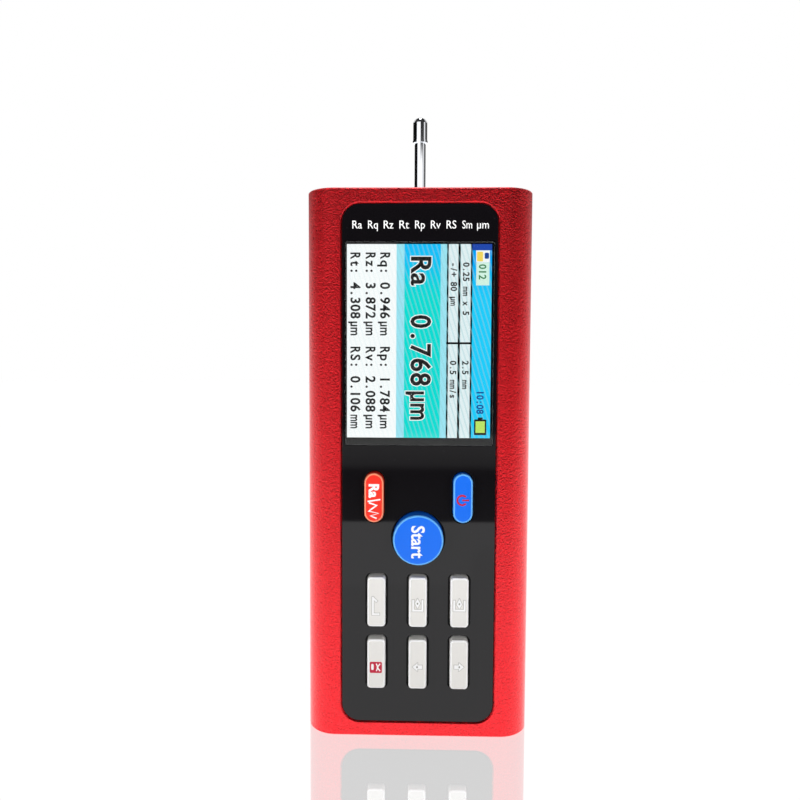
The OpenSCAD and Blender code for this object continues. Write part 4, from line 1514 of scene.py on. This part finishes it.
    @staticmethod
    def filled(drawn: Print, grow: float, points: Sequence[Point]) -> Print:
        """Draws a filled outline.

        Args:
            drawn: Where it is drawn.
            grow: How far the outline grows in mm.
            points: The outline's corners.

        Returns:
            The mark.
        """
        for start, end in zip(points, [*points[1:], points[0]]):
            if grow:
                drawn.path([start, end], 2 * grow)
        return drawn.patch(points)

    def arrow(self, drawn: Print, grow: float, along: float, way: int) -> Print:
        """Draws a filled arrow.

        Args:
            drawn: Where it is drawn.
            grow: How far its outline grows in mm.
            along: Its axis along the reading direction.
            way: 1 for upwards, -1 for downwards.

        Returns:
            The mark.
        """
        half = [(0.0, 1.25), (1.05, 0.0), (0.46, 0.0), (0.46, -1.2)]
        points = half + [(-side, up) for side, up in half[:0:-1]]
        return self.filled(drawn, grow, [(along + side, way * up) for side, up in points])

    def menu_signs(self) -> Print:
        """Draws the signs in the menu key's square."""
        drawn = self.ink(self.rise + self.layer).plate((0.75, -0.94), (1.6, 0.66), 0.3)
        drawn.path([(0.0, 0.92), (0.83, 0.3), (1.66, 0.92)], 0.3)
        return drawn.path([(0.0, 0.1), (0.83, 0.44), (1.66, 0.1)], 0.3)


@dataclass
class Electronics(Assembly):
    """The main board with its components, the battery, and the data socket's contacts.

    Attributes:
        contacts: How many contacts the socket's tongue has.
        pitch: Distance from contact to contact in mm.
        size: A contact's width and length in mm.
        foot: How far a contact's middle lies over the socket's mouth in mm.
        corner: Radius of a contact's corners in mm.
        gilt: Foot and face of a contact over the tongue in mm.
        tongue: Thickness of the socket's tongue in mm.
    """

    contacts: int = 5
    pitch: float = 0.8
    size: Point = (0.42, 5.4)
    foot: float = 3.6
    corner: float = 0.1
    gilt: Point = (-0.02, 0.05)
    tongue: float = 1.0

    nodes: ClassVar[tuple[str, ...]] = ("main_board", "board_components", "battery_pack")

    def build(self) -> None:
        """Lays gilt contacts on the data socket's tongue."""
        gilt = Print(*self.gilt)
        for index in range(self.contacts):
            across = (index - (self.contacts - 1) / 2) * self.pitch
            gilt.plate((across, self.foot), self.size, self.corner)
        mouth = self.middle("data_socket")
        mouth.y -= self.tongue / 2 * MM
        mouth.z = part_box("data_socket")[0].z
        gilt.place("data_contacts", Facing.FRONT_UPRIGHT, mouth, CONTACT_GILT, ROOT, "brass")


@dataclass
class TraverseDrive(Assembly):
    """The motor, the lead screw and the carriage that draws the pickup in.

    Attributes:
        crest: The screw's outer radius in mm.
        root: The screw's core radius in mm.
        pitch: The screw's pitch in mm.
        thread_from: Where the thread starts in mm.
        thread_to: Where the thread ends in mm.
        overlap: How far the thread goes into the core in mm.
        segments: Sides of the core.
    """

    crest: float = 2.0
    root: float = 1.5
    pitch: float = 2.0
    thread_from: float = 70.6
    thread_to: float = 111.9
    overlap: float = 0.05
    segments: int = 32

    nodes: ClassVar[tuple[str, ...]] = (
        "drive_chassis", "guide_rods", "screw_bearings", "gear_motor", "motor_screws",
        "motor_shaft", "shaft_coupling", "lead_screw", "carriage", "guide_bushes", "drive_nut",
        "pivot_pins",
    )

    def build(self) -> None:
        """Cuts the lead screw's thread."""
        low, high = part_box("lead_screw")
        foot, top = low.z / MM, high.z / MM
        length = self.thread_to - self.thread_from
        shape = bmesh.new()
        Thread(self.root - self.overlap, self.crest, self.pitch, length).sweep(shape)
        bmesh.ops.translate(shape, vec=(0, 0, self.thread_from), verts=shape.verts)
        middle = Matrix.Translation((0, 0, (foot + top) / 2))
        core = {"radius1": self.root, "radius2": self.root, "depth": top - foot, "matrix": middle}
        bmesh.ops.create_cone(shape, cap_ends=True, segments=self.segments, **core)
        axis = Vector(((low.x + high.x) / 2, (low.y + high.y) / 2, 0))
        place = Matrix.Translation(axis) @ Matrix.Scale(MM, 4)
        bmesh.ops.transform(shape, matrix=place, verts=shape.verts)
        screw = add_piece("lead_screw_threaded", shape, GROUND_STEEL, "drive_screw")
        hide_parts("lead_screw")


@dataclass
class Pickup(Assembly):
    """The pickup: its sheath, barrel and neck, the skid head and the stylus."""

    nodes: ClassVar[tuple[str, ...]] = (
        "pickup_sheath", "contact_block", "contact_pins", "pickup_barrel", "pickup_neck",
        "skid_head", "sensor_coils", "stylus_pin", "stylus_lever",
    )


@dataclass(frozen=True)
class Softbox:
    """A square soft light.

    Attributes:
        name: Its name.
        spot: Its place in mm.
        size: Its side in mm.
        power: Its power in watts.
        diffuse: Whether it lights matt surfaces, or else shows in glossy ones.
    """

    name: str
    spot: tuple[float, float, float]
    size: float
    power: float
    diffuse: bool


@dataclass(frozen=True)
class Flag:
    """A darker or brighter part of the surroundings, as seen from the object.

    Attributes:
        azimuths: Its left and right limits in degrees from straight ahead of the panel.
        elevations: Its lower and upper limits in degrees.
        soft: Width of its soft border in degrees.
        level: What it multiplies the surroundings by.
    """

    azimuths: Point
    elevations: Point
    soft: float
    level: float

    def share(self, azimuth: Wire, elevation: Wire) -> Wire:
        """Gives the factor for one direction.

        Args:
            azimuth: The direction's azimuth in radians.
            elevation: The direction's elevation in radians.

        Returns:
            1 outside the flag and its level inside.
        """
        soft = math.radians(self.soft)
        inside = azimuth.within(*(math.radians(a) for a in self.azimuths), soft)
        inside = inside * elevation.within(*(math.radians(a) for a in self.elevations), soft)
        return 1 - inside * (1 - self.level)


@dataclass
class Studio:
    """The white floor and surroundings, the soft lights and the camera.

    Attributes:
        focal_px: Focal length in pixels of the photograph.
        frame_px: Side of the photograph's frame in pixels.
        sensor: Width of the camera's sensor in mm.
        spot: The camera's place in mm.
        pitch: How far the camera looks down, in degrees.
        yaw: Its turn about the upright, in degrees.
        roll: Its turn about its line of sight, in degrees.
        floor_front: The floor's front edge in mm.
        floor_reach: How far the floor goes to the other sides in mm.
        floor_drop: How far the floor lies below the object in mm.
        floor_shade: Grey of the floor.
        ambient: Level of the surroundings' light.
        ambient_share: How much of the flags that light keeps.
        floor_glow: Share of the floor's look that is its own plain white.
        floor_level: Level of that white.
        floor_shine: Level of that white where it is mirrored.
        floor_mirror: Share of the floor's look that is a reflection.
    """

    focal_px: float = 713.7
    frame_px: float = 800.0
    sensor: float = 36.0
    spot: tuple[float, float, float] = (-0.391, -200.957, 98.119)
    pitch: float = 3.472
    yaw: float = -1.401
    roll: float = 0.241
    floor_front: float = -262.0
    floor_reach: float = 2500.0
    floor_drop: float = 0.02
    floor_shade: float = 0.86
    ambient: float = 1.2
    ambient_share: float = 0.9
    floor_glow: float = 0.85
    floor_level: float = 1.33
    floor_shine: float = 2.0
    floor_mirror: float = 0.45

    FLAGS: ClassVar[tuple[Flag, ...]] = (
        Flag((-100, 90), (-4, 45), 22, 0.05),
        Flag((-85, -12), (-22, -5), 5, 4.0),
        Flag((12, 85), (-24, -6), 5, 0.8),
        Flag((-10, 10), (-3.2, 12.2), 1.2, 0.5),
        Flag((-10, 10), (-14, -8.8), 2.2, 0.45),
        Flag((-10, 10), (-8.5, -6.5), 0.7, 6.5),
        Flag((-55, 12), (13.2, 17.8), 1.0, 26.0),
        Flag((14, 85), (12.8, 17.8), 1.5, 32.0),
        Flag((48, 110), (-10, 60), 12, 0.6),
        Flag((112, 180), (12, 19.5), 3, 0.05),
        Flag((-180, -72), (12, 19.5), 3, 0.02),
        Flag((105, 180), (-90, 90), 15, 0.75),
        Flag((-180, -115), (-90, 90), 15, 0.8),
        Flag((6, 62), (16.6, 20), 2, 0.03),
        Flag((-180, 180), (56, 90), 12, 0.05),
    )
    LAMPS: ClassVar[tuple[Softbox, ...]] = (
        Softbox("softbox_left", (-500, -520, 90), 400, 3.5, diffuse=True),
        Softbox("softbox_right", (500, -520, 70), 400, 3.1, diffuse=True),
        Softbox("softbox_top", (0, 60, 800), 160, 2.0, diffuse=False),
    )
    TARGET: ClassVar[tuple[float, float, float]] = (0, 0, 75)
    FIRST_BOUNCE: ClassVar[float] = 1.5

    def build(self) -> None:
        """Sets up the whole studio."""
        bpy.context.scene.view_settings.view_transform = "Standard"
        self.place_camera()
        self.light_world()
        self.lay_floor()
        for lamp in self.LAMPS:
            self.hang(lamp)

    def place_camera(self) -> None:
        """Puts the camera where the photograph was taken."""
        data = bpy.data.cameras.new("camera")
        data.sensor_width = self.sensor
        data.lens = self.focal_px / self.frame_px * self.sensor
        data.clip_start = 1 * MM
        camera = link("camera", data)
        turns = ((self.roll, "Y"), (self.pitch, "X"), (self.yaw, "Z"))
        look = Matrix.Identity(3)
        for angle, axis in turns:
            look = look @ Matrix.Rotation(math.radians(angle), 3, axis)
        right, forward, up = look
        pose = Matrix((right, up, -forward)).transposed().to_4x4()
        camera.matrix_world = Matrix.Translation(Vector(self.spot) * MM) @ pose
        bpy.context.scene.camera = camera

    def light_world(self) -> None:
        """Makes white surroundings with flags that only the object sees."""
        world = bpy.data.worlds.new("white_studio")
        bpy.context.scene.world = world
        world.use_nodes = True
        graph = Graph(world.node_tree)
        right, back, up = graph.parts(graph.node("ShaderNodeTexCoord", {}, {}, "Generated"))
        azimuth = right.math("ARCTAN2", right, 0 - back)
        elevation = up.math("ARCSINE", up)
        mirrored = self.FLAGS[0].share(azimuth, elevation)
        for flag in self.FLAGS[1:]:
            mirrored = mirrored * flag.share(azimuth, elevation)
        seen = self.ray(graph, "Is Camera Ray")
        glossy = self.ray(graph, "Is Glossy Ray").largest(self.ray(graph, "Is Transmission Ray"))
        mirrored = mirrored.largest(self.ray(graph, "Glossy Depth") > self.FIRST_BOUNCE)
        mirrored = mirrored.largest(self.ray(graph, "Is Singular Ray"))
        soft = (1 - (1 - mirrored) * self.ambient_share) * self.ambient
        lit = glossy * mirrored + (1 - glossy) * soft
        strength = seen + (1 - seen) * lit
        inputs = {"Color": (1, 1, 1, 1), "Strength": strength}
        shine = graph.node("ShaderNodeBackground", {}, inputs)
        graph.node("ShaderNodeOutputWorld", {}, {"Surface": shine})

    @staticmethod
    def ray(graph: Graph, kind: str) -> Wire:
        """Gives 1 for rays of one kind."""
        return graph.node("ShaderNodeLightPath", {}, {}, kind)

    def lay_floor(self) -> None:
        """Lays a white floor with a faint gloss, which keeps the shadow."""
        material = bpy.data.materials.new("floor_white")
        material.use_nodes = True
        graph = Graph(material.node_tree)
        grey = (self.floor_shade, self.floor_shade, self.floor_shade, 1)
        matt = graph.node("ShaderNodeBsdfDiffuse", {}, {"Color": grey})
        glow = graph.node("ShaderNodeEmission", {}, {"Strength": self.floor_level})
        shine = graph.node("ShaderNodeEmission", {}, {"Strength": self.floor_shine})
        seen = self.ray(graph, "Is Camera Ray") * self.floor_glow
        gloss = graph.node("ShaderNodeBsdfGlossy", {}, {"Roughness": 0.0})
        shader = matt
        mirrored = self.ray(graph, "Is Glossy Ray")
        for share, layer in ((seen, glow), (mirrored, shine), (self.floor_mirror, gloss)):
            shader = graph.node("ShaderNodeMixShader", {}, {0: share, 1: shader, 2: layer})
        graph.node("ShaderNodeOutputMaterial", {}, {"Surface": shader})
        shape = bmesh.new()
        bmesh.ops.create_grid(shape, x_segments=1, y_segments=1, size=0.5)
        depth = self.floor_reach - self.floor_front
        size = Matrix.Diagonal((2 * self.floor_reach * MM, depth * MM, 1, 1))
        along = (self.floor_reach + self.floor_front) / 2
        middle = Matrix.Translation((0, along * MM, -self.floor_drop * MM))
        bmesh.ops.transform(shape, matrix=middle @ size, verts=shape.verts)
        mesh = mesh_of("floor", shape)
        mesh.materials.append(material)
        floor = link("floor", mesh)

    def hang(self, lamp: Softbox) -> None:
        """Hangs a soft light that looks at the object.

        Args:
            lamp: The light.
        """
        data = bpy.data.lights.new(lamp.name, "AREA")
        data.size = lamp.size * MM
        data.energy = lamp.power
        light = link(lamp.name, data)
        light.visible_diffuse = lamp.diffuse
        light.visible_glossy = not lamp.diffuse
        light.location = Vector(lamp.spot) * MM
        aim = Vector(self.TARGET) * MM - light.location
        light.rotation_euler = aim.to_track_quat("-Z", "Y").to_euler()


def main() -> None:
    """Builds the studio and each sub-assembly in order."""
    logging.basicConfig(level=logging.INFO, format="%(name)s: %(message)s")
    Studio().build()
    parts = (Casing(), FrontPanel(), Display(), Keypad(), Electronics(), TraverseDrive(), Pickup())
    for part in parts:
        LOG.info("building %s", type(part).__name__)
        part.dress()
        part.build()


if __name__ == "__main__":
    main()
